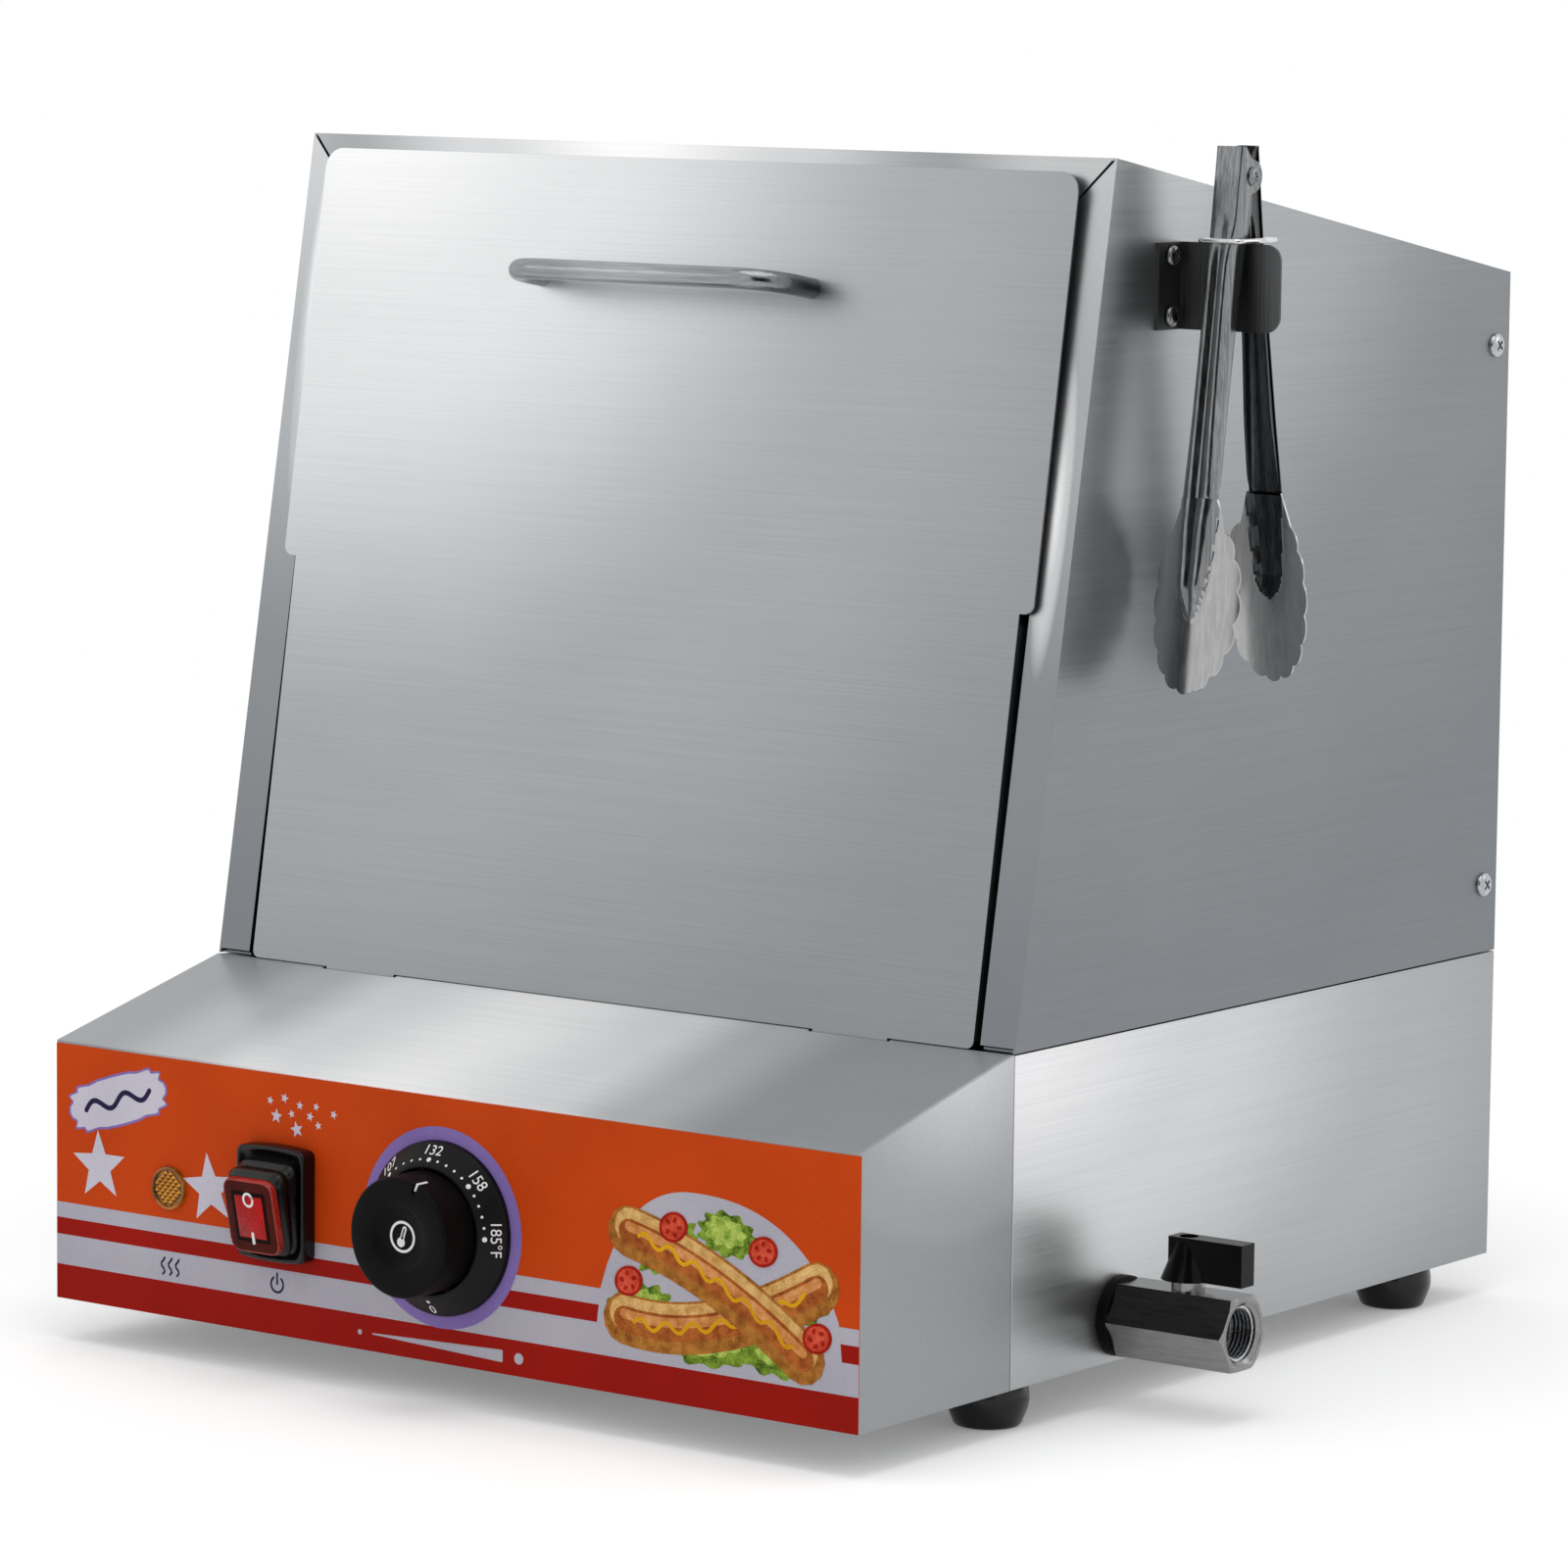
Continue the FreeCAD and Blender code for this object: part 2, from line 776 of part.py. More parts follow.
def switch_body():
    wide = switch_cut_width - 2 * soft_gap
    high = switch_cut_height - 2 * soft_gap
    front = film + switch_frame_reach - sheet
    body = Part.makeBox(wide, high, switch_body_depth + front, Vector(-wide / 2, -high / 2, -switch_body_depth))
    well = Part.makeBox(rocker_stem_width + 2 * soft_gap, high - 2 * switch_wall, rocker_well,
                        Vector(-rocker_stem_width / 2 - soft_gap, switch_wall - high / 2, front - rocker_well))
    axle = Part.makeCylinder(rocker_axle_radius + shaft_clearance, rocker_axle_length + 2 * soft_gap,
                             Vector(-rocker_axle_length / 2 - soft_gap, 0, rocker_axle_place), X)
    tabs = []
    for side in (-1, 1):
        tabs.append(Part.makeBox(switch_tab_width, switch_tab_thick, switch_tab_length,
                                 Vector(-switch_tab_width / 2, side * switch_cut_height / 4,
                                        -switch_body_depth - switch_tab_length)))
    return on_panel(body.cut([well, axle]).fuse(tabs), switch_x, switch_z)


def switch_rocker():
    plate_rear = rocker_reach - rocker_thick
    plate = rounded_block(rocker_width, rocker_height, rocker_corner, plate_rear, rocker_reach)
    stem_low = rocker_axle_place - rocker_stem_low
    stem = Part.makeBox(rocker_stem_width, rocker_stem_height, plate_rear - stem_low,
                        Vector(-rocker_stem_width / 2, -rocker_stem_height / 2, stem_low))
    axle = Part.makeCylinder(rocker_axle_radius, rocker_axle_length,
                             Vector(-rocker_axle_length / 2, 0, rocker_axle_place), X)
    rocker = plate.fuse([stem, axle]).removeSplitter()
    rocker.rotate(Vector(0, 0, rocker_axle_place), X, rocker_tilt)
    return on_panel(rocker, switch_x, switch_z)


# Pilot lamp


def pilot_lamp_lens():
    flange_top = film + lamp_flange
    lens = turned([(0, film), (lamp_flange_radius, film), (lamp_flange_radius, flange_top),
                   (lamp_flange_radius * lamp_facet_share, flange_top + lamp_dome), (0, flange_top + lamp_dome)])
    return on_panel(lens, lamp_x, lamp_z)


def pilot_lamp_body():
    barrel = Part.makeCylinder(lamp_hole, lamp_barrel_length, Vector(0, 0, film - lamp_barrel_length))
    return on_panel(barrel, lamp_x, lamp_z)


# Heating and wiring pieces


def heating_element():
    front = tank_front - element_front_reach
    rear = body_depth - element_rear_gap
    tube = bent_rod([Vector(-element_half_span, front, element_height),
                     Vector(-element_half_span, rear, element_height),
                     Vector(element_half_span, rear, element_height),
                     Vector(element_half_span, front, element_height)], element_radius, element_bend)
    pins = []
    for side in (-1, 1):
        end = Vector(side * element_half_span, front, element_height)
        pins.append(rod(terminal_pin_radius, end + Y * sheet, end - Y * terminal_pin_length))
    return tube.fuse(pins).removeSplitter()


def element_glands():
    glands = []
    for side in (-1, 1):
        x = side * element_half_span
        nut = hexagon(gland_nut * math.sqrt(3), 0, gland_nut_thick)
        nut = placed(nut, Placement(Vector(x, tank_front, element_height), Rotation(X, 90)))
        neck = rod(gland_thread - screw_gap, Vector(x, tank_front, element_height),
                   Vector(x, tank_front + sheet, element_height))
        collar = rod(gland_collar, Vector(x, tank_front + sheet, element_height),
                     Vector(x, tank_front + sheet + gland_collar_thick, element_height))
        bore = rod(element_radius + screw_gap, Vector(x, tank_front - 2 * gland_nut_thick, element_height),
                   Vector(x, tank_front + 2 * gland_nut_thick, element_height))
        glands.append(nut.fuse([neck, collar]).removeSplitter().cut(bore))
    return group(glands)


def element_supports():
    top = element_height - element_radius - soft_gap
    shapes = []
    for place in support_places:
        y = control_depth + place
        channel = [(y, sheet), (y + sheet, sheet), (y + sheet, top - sheet),
                   (y + support_width - sheet, top - sheet), (y + support_width - sheet, sheet),
                   (y + support_width, sheet), (y + support_width, top), (y, top)]
        shapes.append(side_prism(channel, -support_half_length, support_half_length))
    return group(shapes)


def high_limit_cutout():
    disc = rod(cutout_radius, Vector(cutout_x, tank_front - cutout_thick, cutout_z),
               Vector(cutout_x, tank_front, cutout_z))
    tab = block((cutout_x - cutout_tab, tank_front - cutout_tab_thick, cutout_z - cutout_radius / 2),
                (cutout_x + cutout_tab, tank_front, cutout_z + cutout_radius / 2))
    pins = []
    for side in (-1, 1):
        x = cutout_x + side * cutout_radius / 2
        pins.append(block((x - cutout_tab_thick, tank_front - 2 * cutout_thick, cutout_z - cutout_tab_thick / 2),
                          (x + cutout_tab_thick, tank_front - cutout_thick + sheet,
                           cutout_z + cutout_tab_thick / 2)))
    return disc.fuse([tab] + pins).removeSplitter()


def terminal_block():
    length, depth, height = terminal_block_size
    low = Vector(terminal_block_x - length / 2, terminal_block_y - depth / 2, sheet * 2)
    base = Part.makeBox(length, depth, height, low)
    cuts = []
    for i in range(terminal_count):
        x = low.x + length * (i + 0.5) / terminal_count
        top = low.z + height
        cuts.append(block((x - terminal_well / 2, terminal_block_y - terminal_well / 2, top - terminal_well_depth),
                          (x + terminal_well / 2, terminal_block_y + terminal_well / 2, top + overrun)))
    return base.cut(cuts)


def cord_gland():
    gland = turned([(cord_gland_bore, -sheet - cord_gland_nut), (cord_gland_radius, -sheet - cord_gland_nut),
                    (cord_gland_radius, -sheet), (cord_gland_neck, -sheet), (cord_gland_neck, 0),
                    (cord_gland_radius, 0), (cord_gland_radius, cord_gland_reach),
                    (cord_gland_bore, cord_gland_reach)])
    return placed(gland, Placement(Vector(-half_width, cord_gland_y, cord_gland_z), Rotation(Y, -90)))


# Cabinet


def cabinet_side():
    outline = [(control_depth, cabinet_foot), (body_depth, cabinet_foot), (body_depth, rear_top_height),
               (front_top_depth, front_top_height)]
    plate = side_prism(outline, inner_half, half_width)
    corner = front_slope - flange_width
    flange = rounded_face([(opening_half, flange_foot_gap, 0), (half_width, flange_foot_gap, 0),
                           (half_width, front_slope, 0), (half_width - sheet, front_slope - mitre_gap, 0),
                           (opening_half, corner - mitre_gap, 0)]).extrude(Vector(0, 0, -sheet))
    flange = placed(flange, flange_frame)
    low_flange = block((half_width - tank_flange_width, control_depth + 2 * sheet, cabinet_foot),
                       (inner_half, body_depth - 2 * sheet, cabinet_foot + sheet))
    side = plate.fuse([flange, low_flange]).removeSplitter()
    cuts = [placed(block((-sheet, -overrun, 0), (body_width, front_slope + overrun, overrun)), flange_frame)]
    for y, z in side_screw_places():
        cuts.append(rod(side_screw_radius + screw_gap, Vector(inner_half - overrun, y, z),
                        Vector(half_width + overrun, y, z)))
    return side.cut(cuts)


def right_side_panel():
    holes = []
    for y, z in bracket_screw_places():
        holes.append(rod(small_screw_radius + screw_gap, Vector(inner_half - overrun, y, z),
                         Vector(half_width + overrun, y, z)))
    return cabinet_side().cut(holes)


def left_side_panel():
    return mirrored(cabinet_side())


def top_panel():
    front = front_top_depth + sheet
    edge = inner_half - bend_gap
    drop = sheet / math.cos(math.radians(roof_fall))
    roof = [(front_top_depth, front_top_height), (body_depth, rear_top_height),
            (body_depth, rear_top_height - drop), (front_top_depth, front_top_height - drop)]
    plate = side_prism(roof, -edge, edge)
    foot = opening_half - mitre_gap / 2
    lean = rounded_face([(-edge, front_slope, 0), (-foot, front_slope - top_flange_width, 0),
                         (foot, front_slope - top_flange_width, 0), (edge, front_slope, 0)])
    flange = placed(lean.extrude(Vector(0, 0, -sheet)), flange_frame)
    return plate.fuse(flange).removeSplitter()


def rear_panel():
    top_drop = (sheet + bend_gap) / math.cos(math.radians(roof_fall))
    edge = inner_half - bend_gap
    high = rear_top_height + sheet * roof_tan - top_drop
    plate = block((-edge, body_depth - sheet, cabinet_foot), (edge, body_depth, high - sheet * roof_tan))
    shapes = []
    for side in (-1, 1):
        x = side * (edge - sheet / 2)
        shapes.append(block((x - sheet / 2, body_depth - rear_flange_width, cabinet_foot + 2 * sheet),
                            (x + sheet / 2, body_depth, high - sheet * roof_tan)))
    panel = plate.fuse(shapes).removeSplitter()
    cuts = []
    for y, z in side_screw_places():
        cuts.append(rod(side_screw_radius + screw_gap, Vector(-half_width, y, z), Vector(half_width, y, z)))
    return panel.cut(cuts)


def side_screw_places():
    y = body_depth - side_screw_inset
    return [(y, seam_height + side_screw_low), (y, rear_top_height - side_screw_drop)]


def side_screws():
    shapes = []
    screw = pan_screw(side_screw_radius, side_screw_length, side_screw_head_radius, side_screw_head_height)
    for y, z in side_screw_places():
        right = along_x(screw, half_width, y, z)
        shapes += [right, mirrored(right)]
    return group(shapes)


# Rails, trays and divider


def tray_rail(floor, depth_at):
    top = floor - soft_gap
    outline = [(inner_half, top + rail_step), (rail_clear_half, top + rail_step), (rail_clear_half, top),
               (rail_ledge_half, top), (rail_ledge_half, top - sheet), (rail_clear_half + sheet, top - sheet),
               (rail_clear_half + sheet, top + rail_step - sheet), (inner_half, top + rail_step - sheet)]
    rear = body_depth - rear_flange_width - rail_rear_gap
    return cross_prism(outline, depth_at + rail_front_gap, rear)


def right_tray_rails():
    lower_front = control_depth + (lower_tray_floor + rail_step - seam_height) * lean_tan
    upper_front = control_depth + (upper_tray_floor + rail_step - seam_height) * lean_tan
    return group([tray_rail(lower_tray_floor, lower_front), tray_rail(upper_tray_floor, upper_front)])


def left_tray_rails():
    return mirrored(right_tray_rails())


def tray(front, floor, depth):
    rear = tray_rear
    pan = block((-tray_half_width, front, floor), (tray_half_width, rear, floor + depth))
    inside = tray_half_width - tray_sheet
    pan = pan.cut(block((-inside, front + tray_sheet, floor + tray_sheet),
                        (inside, rear - tray_sheet, floor + depth + overrun)))
    cuts = []
    run = rear - front
    slot_length = run * slot_length_share
    for column in range(slot_columns):
        x = (column - (slot_columns - 1) / 2) * slot_pitch
        for row in range(slot_rows):
            y = front + run * (row + 0.5) / slot_rows
            cuts.append(block((x - slot_width / 2, y - slot_length / 2, floor - overrun),
                              (x + slot_width / 2, y + slot_length / 2, floor + overrun)))
    return pan.cut(cuts)


def hot_dog_tray():
    return tray(lower_tray_front, lower_tray_floor, lower_tray_depth)


def bun_tray():
    return tray(upper_tray_front, upper_tray_floor, upper_tray_depth)


def tray_divider():
    low = lower_tray_floor + tray_sheet + divider_gap
    rim = lower_tray_floor + lower_tray_depth
    front = lower_tray_front
    rear = tray_rear
    inset = tray_sheet + divider_gap
    hook = divider_gap + divider_sheet
    outline = [(front + inset, low), (rear - inset, low), (rear - inset, rim + divider_gap),
               (rear + divider_gap, rim + divider_gap), (rear + divider_gap, rim - divider_hook),
               (rear + hook, rim - divider_hook), (rear + hook, rim + divider_rise),
               (front - hook, rim + divider_rise), (front - hook, rim - divider_hook),
               (front - divider_gap, rim - divider_hook), (front - divider_gap, rim + divider_gap),
               (front + inset, rim + divider_gap)]
    return side_prism(outline, -divider_sheet / 2, divider_sheet / 2)


# Door


def door_skin():
    low = door_lower_half_width
    top = door_half_width
    notch = door_notch_height
    right = [(hinge_tab_inner, 0, 0), (hinge_tab_inner, -hinge_tab_length, hinge_tab_corner),
             (hinge_tab_outer, -hinge_tab_length, hinge_tab_corner), (hinge_tab_outer, 0, 0),
             (low, 0, door_foot_corner), (low, notch, 0), (top, notch, door_notch_corner),
             (top, door_height, door_corner)]
    left = [(-x, y, radius) for x, y, radius in reversed(right)]
    skin = rounded_face(right + left).extrude(Vector(0, 0, -door_sheet))
    deep = -door_sheet - door_return
    shapes = []
    for side in (-1, 1):
        x = side * (low - door_sheet / 2)
        shapes.append(block((x - door_sheet / 2, door_foot_corner, deep),
                            (x + door_sheet / 2, notch - door_notch_corner, -door_sheet)))
    hem = top - door_corner
    shapes.append(block((-hem, door_height - door_sheet, -door_sheet - door_top_hem),
                        (hem, door_height, -door_sheet)))
    skin = skin.fuse(shapes).removeSplitter()
    cuts = []
    for side in (-1, 1):
        cuts.append(Part.makeCylinder(handle_screw_radius + screw_gap, 2 * overrun,
                                      Vector(side * handle_half_span, handle_height, -overrun)))
    return placed(skin.cut(cuts), door_frame)


def door_liner():
    low = -door_sheet - liner_depth
    pan = rounded_block(2 * liner_half_width, liner_high - liner_low, door_corner, low, -door_sheet,
                        0, (liner_high + liner_low) / 2)
    inside = rounded_block(2 * (liner_half_width - liner_sheet), liner_high - liner_low - 2 * liner_sheet,
                           door_corner - liner_sheet, low + liner_sheet, overrun,
                           0, (liner_high + liner_low) / 2)
    return placed(pan.cut(inside), door_frame)


def door_handle():
    points = [Vector(-handle_half_span, handle_height, 0),
              Vector(-handle_half_span, handle_height, handle_standoff),
              Vector(handle_half_span, handle_height, handle_standoff),
              Vector(handle_half_span, handle_height, 0)]
    bar = bent_rod(points, handle_rod, handle_bend)
    cuts = []
    for side in (-1, 1):
        cuts.append(Part.makeCylinder(handle_screw_radius + screw_gap, handle_screw_length,
                                      Vector(side * handle_half_span, handle_height, -door_sheet)))
    return placed(bar.cut(cuts), door_frame)


def handle_screws():
    screw = pan_screw(handle_screw_radius, handle_screw_length - sheet, pan_head_radius, pan_head_height)
    screws = []
    for side in (-1, 1):
        spot = Placement(Vector(side * handle_half_span, handle_height, -door_sheet), Rotation(X, 180))
        screws.append(placed(placed(screw, spot), door_frame))
    return group(screws)


def door_bumpers():
    place = door_height - bumper_below_top
    proud = hinge_proud + place * math.sin(math.radians(door_lean_less))
    length = proud - door_sheet - soft_gap
    pads = []
    for side in (-1, 1):
        pad = Part.makeCylinder(bumper_radius, length, Vector(side * bumper_spread, place, -door_sheet - length))
        pads.append(placed(pad, door_frame))
    return group(pads)


# Drain valve


def drain_washer():
    return along_x(sleeve(washer_radius, drain_thread + screw_gap, Vector(0, 0, 0), Z * washer_thick),
                   half_width, drain_y, drain_z)


def drain_nut():
    nut = hexagon(drain_nut_flats, -drain_nut_thick, 0)
    nut = nut.cut(Part.makeCylinder(drain_thread + screw_gap, 2 * drain_nut_thick, -Z * drain_nut_thick * 1.5))
    return along_x(nut, inner_half, drain_y, drain_z)


def valve_body():
    length = valve_end - washer_thick
    radius = valve_flats / math.sqrt(3)
    body = hexagon(valve_flats, 0, length)
    envelope = turned([(0, 0), (radius, 0), (radius, length - valve_chamfer / 2),
                       (radius - valve_chamfer, length), (0, length)])
    thread = washer_thick + sheet + drain_nut_thick + thread_proud
    male = Part.makeCylinder(drain_thread, thread, -Z * thread)
    centre = stem_place - washer_thick
    stem_boss = Part.makeCylinder(boss_radius, valve_flats / 2 + boss_height, Vector(0, 0, centre), X * -1)
    body = body.common(envelope).fuse([male, stem_boss]).removeSplitter()
    cavity = ball_radius + ball_gap
    seat_low = centre - ball_seat_reach()
    cuts = [
        Part.makeCylinder(valve_port, valve_port_depth, Vector(0, 0, length - valve_port_depth)),
        Part.makeCylinder(cavity, length - valve_port_depth - seat_low, Vector(0, 0, seat_low)),
        Part.makeCylinder(valve_through, length),
        Part.makeCylinder(valve_inlet, thread + valve_inlet_depth, -Z * thread),
        Part.makeCylinder(stem_radius + stem_clearance, valve_flats, Vector(0, 0, centre), X * -1),
    ]
    return along_x(body.cut(cuts), valve_x, drain_y, drain_z)


def ball_seat_reach():
    """From the ball's centre to the far face of a seat."""
    return math.sqrt(ball_radius ** 2 - ball_bore ** 2) + seat_thick


def valve_seats():
    seats = []
    centre = Vector(stem_x, drain_y, drain_z)
    near = math.sqrt((ball_radius + seat_gap) ** 2 - valve_through ** 2)
    for side in (-1, 1):
        seats.append(sleeve(ball_radius, valve_through, centre + X * (side * near),
                            centre + X * (side * ball_seat_reach())))
    return group(seats)


def valve_retainer():
    start = stem_x + ball_seat_reach() + screw_gap
    return sleeve(ball_radius + ball_gap - screw_gap, valve_through, Vector(start, drain_y, drain_z),
                  Vector(start + retainer_thick, drain_y, drain_z))


def valve_ball():
    centre = Vector(stem_x, drain_y, drain_z)
    bore = rod(ball_bore, centre - X * ball_radius * 2, centre + X * ball_radius * 2)
    slot = block((stem_x - stem_tang / 2 - screw_gap, drain_y - ball_radius,
                  drain_z + ball_radius - stem_tang_depth),
                 (stem_x + stem_tang / 2 + screw_gap, drain_y + ball_radius, drain_z + ball_radius + overrun))
    half = []
    for i in range(ball_bands + 1):
        angle = math.pi * (i / ball_bands - 0.5)
        half.append((ball_radius * math.cos(angle), ball_radius * math.sin(angle)))
    return turned(half).translated(centre).cut([bore, slot])


def valve_stem():
    centre = Vector(stem_x, drain_y, drain_z)
    low = centre + Z * (ball_radius + screw_gap)
    top = Vector(stem_x, drain_y, lever_low + lever_height / 2)
    stem = rod(stem_radius, low, top)
    tang = block((stem_x - stem_tang / 2, drain_y - stem_tang_half,
                  drain_z + ball_radius - stem_tang_depth + screw_gap),
                 (stem_x + stem_tang / 2, drain_y + stem_tang_half, low.z + screw_gap))
    hole = rod(lever_screw_shank + screw_gap, top - Z * lever_screw_depth, top + Z * overrun)
    return stem.fuse(tang).removeSplitter().cut(hole)


def valve_lever():
    half = lever_thick / 2
    low = lever_low
    high = lever_low + lever_height
    bar = block((stem_x - lever_tail, drain_y - half, low), (stem_x + lever_length, drain_y + half, high))
    hub = Part.makeCone(lever_hub_radius, half, lever_height - lever_edge, Vector(stem_x, drain_y, low), Z)
    lever = bar.fuse(hub).removeSplitter()
    stem_hole = rod(stem_radius + screw_gap, Vector(stem_x, drain_y, low - overrun),
                    Vector(stem_x, drain_y, low + lever_height / 2 + screw_gap))
    screw_hole = rod(lever_screw_hole, Vector(stem_x, drain_y, high - lever_screw_depth),
                     Vector(stem_x, drain_y, high + overrun))
    shank_hole = rod(lever_screw_shank + screw_gap, Vector(stem_x, drain_y, low + lever_height / 2),
                     Vector(stem_x, drain_y, high - lever_screw_depth))
    return lever.cut([stem_hole, screw_hole, shank_hole])


def lever_screw():
    seat = lever_low + lever_height - lever_screw_depth
    screw = pan_screw(lever_screw_shank, lever_screw_length, lever_screw_hole - soft_gap, pan_head_height)
    return screw.translated(Vector(stem_x, drain_y, seat))


# Bracket and tongs


def bracket_screw_places():
    y = bracket_y - bracket_screw_inset
    return [(y, bracket_low + bracket_screw_edge), (y, bracket_high - bracket_screw_edge)]


def tong_bracket():
    fin_face = rounded_face([(half_width, bracket_low, 0),
                             (half_width + bracket_reach, bracket_low, bracket_corner),
                             (half_width + bracket_reach, bracket_high, bracket_corner),
                             (half_width, bracket_high, 0)])
    fin = placed(fin_face.extrude(Z * bracket_sheet), Placement(Y * bracket_y, Rotation(X, 90)))
    tab = block((half_width, bracket_y - bracket_tab, bracket_low),
                (half_width + bracket_sheet, bracket_y, bracket_high))
    holes = []
    for y, z in bracket_screw_places():
        holes.append(rod(small_screw_radius + screw_gap, Vector(half_width - overrun, y, z),
                         Vector(half_width + overrun, y, z)))
    return fin.fuse(tab).removeSplitter().cut(holes)


def bracket_screws():
    shapes = []
    screw = pan_screw(small_screw_radius, bracket_screw_length, pan_head_radius, pan_head_height)
    for y, z in bracket_screw_places():
        shapes.append(along_x(screw, half_width + bracket_sheet, y, z))
    return group(shapes)


def taper(top_half, low_half, web_low, web_high, extra=0):
    """Tapered envelope of an arm: local Z runs down the arm and local Y outwards."""
    wires = []
    for half, place in ((top_half, -tong_rise - extra), (low_half, tong_channel + extra)):
        wires.append(Part.makePolygon([Vector(-half, web_low, place), Vector(half, web_low, place),
                                       Vector(half, web_high, place), Vector(-half, web_high, place),
                                       Vector(-half, web_low, place)]))
    return Part.makeLoft(wires, True, True)


def tong_head():
    """Scalloped head, bent round the arm's length."""
    neck = math.asin(math.sqrt(1 - (tong_low_half / tong_head_half) ** 2))
    centre = tong_channel - tong_sheet + tong_head_length / 2 * math.sin(neck)
    steps = []
    for i in range(tong_scallops + 1):
        angle = -neck + i * (math.pi + 2 * neck) / tong_scallops
        steps.append(Vector(tong_head_half * math.cos(angle), 0,
                            centre + tong_head_length / 2 * math.sin(angle)))
    middle = Vector(0, 0, centre)
    edges = []
    for first, last in zip(steps, steps[1:]):
        half = (first + last) * 0.5
        out = half + (half - middle).normalize() * tong_scallop_bulge
        edges.append(Part.Arc(first, out, last).toShape())
    edges.append(Part.LineSegment(steps[-1], steps[0]).toShape())
    plate = Part.Face(Part.Wire(edges)).extrude(Y * 2 * tong_web)
    outer = rod(tong_head_round, Vector(0, tong_web - tong_head_round, 0),
                Vector(0, tong_web - tong_head_round, tong_channel + 2 * tong_head_length))
    inner = rod(tong_head_round - tong_sheet, Vector(0, tong_web - tong_head_round, 0),
                Vector(0, tong_web - tong_head_round, tong_channel + 2 * tong_head_length))
    return plate.common(outer.cut(inner))


def tong_arm(top_half, low_half, hole):
    """One arm with its pivot at the origin, local Z down the arm and local Y outwards."""
    outer = taper(top_half, low_half, -tong_web, tong_web)
    inner = taper(top_half - tong_sheet, low_half - tong_sheet, -2 * tong_web, tong_web - tong_sheet, overrun)
    side = [(tong_web, -tong_rise), (tong_web, tong_channel), (tong_flange_low, tong_channel),
            (tong_crotch_inner, tong_crotch), (0, tong_crotch / 2), (0, -tong_rise / 2),
            (tong_web - 2 * tong_sheet, -tong_rise)]
    strip = prism([Vector(-2 * tong_web, y, z) for y, z in side], X * 4 * tong_web)
    eye = Part.makeCylinder(tong_eye, 4 * tong_web, Vector(-2 * tong_web, 0, 0), X)
    channel = outer.common(strip.fuse(eye)).cut(inner)
    arm = channel.fuse(tong_head()).removeSplitter()
    return arm.cut(Part.makeCylinder(hole, 4 * tong_web, Vector(-2 * tong_web, 0, 0), X))


def hang(arm, side):
    """Turn an arm to hang down, lean it out to its side and put it on the pivot."""
    turn = Rotation(X, 180) if side < 0 else Rotation(Z, 180).multiply(Rotation(X, 180))
    swung = placed(arm, Placement(Vector(0, 0, 0), turn))
    swung.rotate(Vector(0, 0, 0), X, side * tong_angle)
    return swung.translated(tong_pivot)


def tong_arm_front():
    return hang(tong_arm(tong_top_half, tong_low_half, rivet_radius + screw_gap), -1)


def tong_arm_rear():
    return hang(tong_arm(tong_nested_top_half, tong_nested_low_half, rivet_radius + rivet_clearance), 1)


def tong_rivet():
    half = tong_top_half + soft_gap
    shank = rod(rivet_radius, tong_pivot - X * (half + rivet_head), tong_pivot + X * (half + rivet_head))
    heads = []
    for side in (-1, 1):
        start = tong_pivot + X * (side * half)
        heads.append(rod(rivet_head_radius, start, start + X * (side * rivet_head)))
    return shank.fuse(heads).removeSplitter()


def tong_spring():
    """Folded leaf between the arms, over the rivet."""
    lean = math.tan(math.radians(tong_angle))
    low = spring_half_gap + spring_reach * lean / 2
    outline = [(-low, -spring_reach), (-spring_half_gap, spring_top), (spring_half_gap, spring_top),
               (low, -spring_reach), (low - spring_leaf, -spring_reach),
               (spring_half_gap - spring_leaf, spring_top - spring_leaf),
               (spring_leaf - spring_half_gap, spring_top - spring_leaf), (spring_leaf - low, -spring_reach)]
    points = [Vector(-spring_half_width, y, z) for y, z in outline]
    return prism(points, X * 2 * spring_half_width).translated(tong_pivot)


def tong_ring():
    z = bracket_high + ring_wire + soft_gap
    corners = []
    for sx, sy in ((-1, -1), (1, -1), (1, 1), (-1, 1)):
        corners.append(Vector(tong_x + sx * ring_half_x, tong_plane + sy * ring_half_y, z))
    sides = []
    for i, corner in enumerate(corners):
        along = (corner - corners[i - 1]).normalize() * ring_wire
        sides.append(rod(ring_wire, corners[i - 1] - along, corner + along))
    ring = sides[0].fuse([sides[2]])
    return ring.fuse([sides[1], sides[3]]).removeSplitter()


nodes = [
    tank_floor, tank_left_wall, tank_right_wall, tank_rear_wall, tank_front_wall, feet, foot_nuts,
    control_box_shell, control_box_bottom_cover, control_box_screws, control_panel_overlay,
    left_side_panel, right_side_panel, top_panel, rear_panel, side_screws, left_tray_rails,
    right_tray_rails, hot_dog_tray, bun_tray, tray_divider, door_skin, door_liner, door_handle,
    handle_screws, door_bumpers, heating_element, element_glands, element_supports, thermostat_body,
    thermostat_shaft, thermostat_bulb, capillary_gland, high_limit_cutout, terminal_block, cord_gland,
    dial_bezel, thermostat_knob, switch_body, switch_frame, switch_rocker, pilot_lamp_lens,
    pilot_lamp_body, drain_washer, drain_nut, valve_body, valve_seats, valve_retainer, valve_ball,
    valve_stem, valve_lever, lever_screw, tong_bracket, bracket_screws, tong_arm_front, tong_arm_rear,
    tong_rivet, tong_spring, tong_ring,
]

# The origin is the bottom centre of the whole part
x_low = -half_width - cord_gland_reach
x_high = stem_x + lever_length
y_low = -knob_reach
y_high = body_depth
origin_shift = Vector(-(x_low + x_high) / 2, -(y_low + y_high) / 2, foot_height)

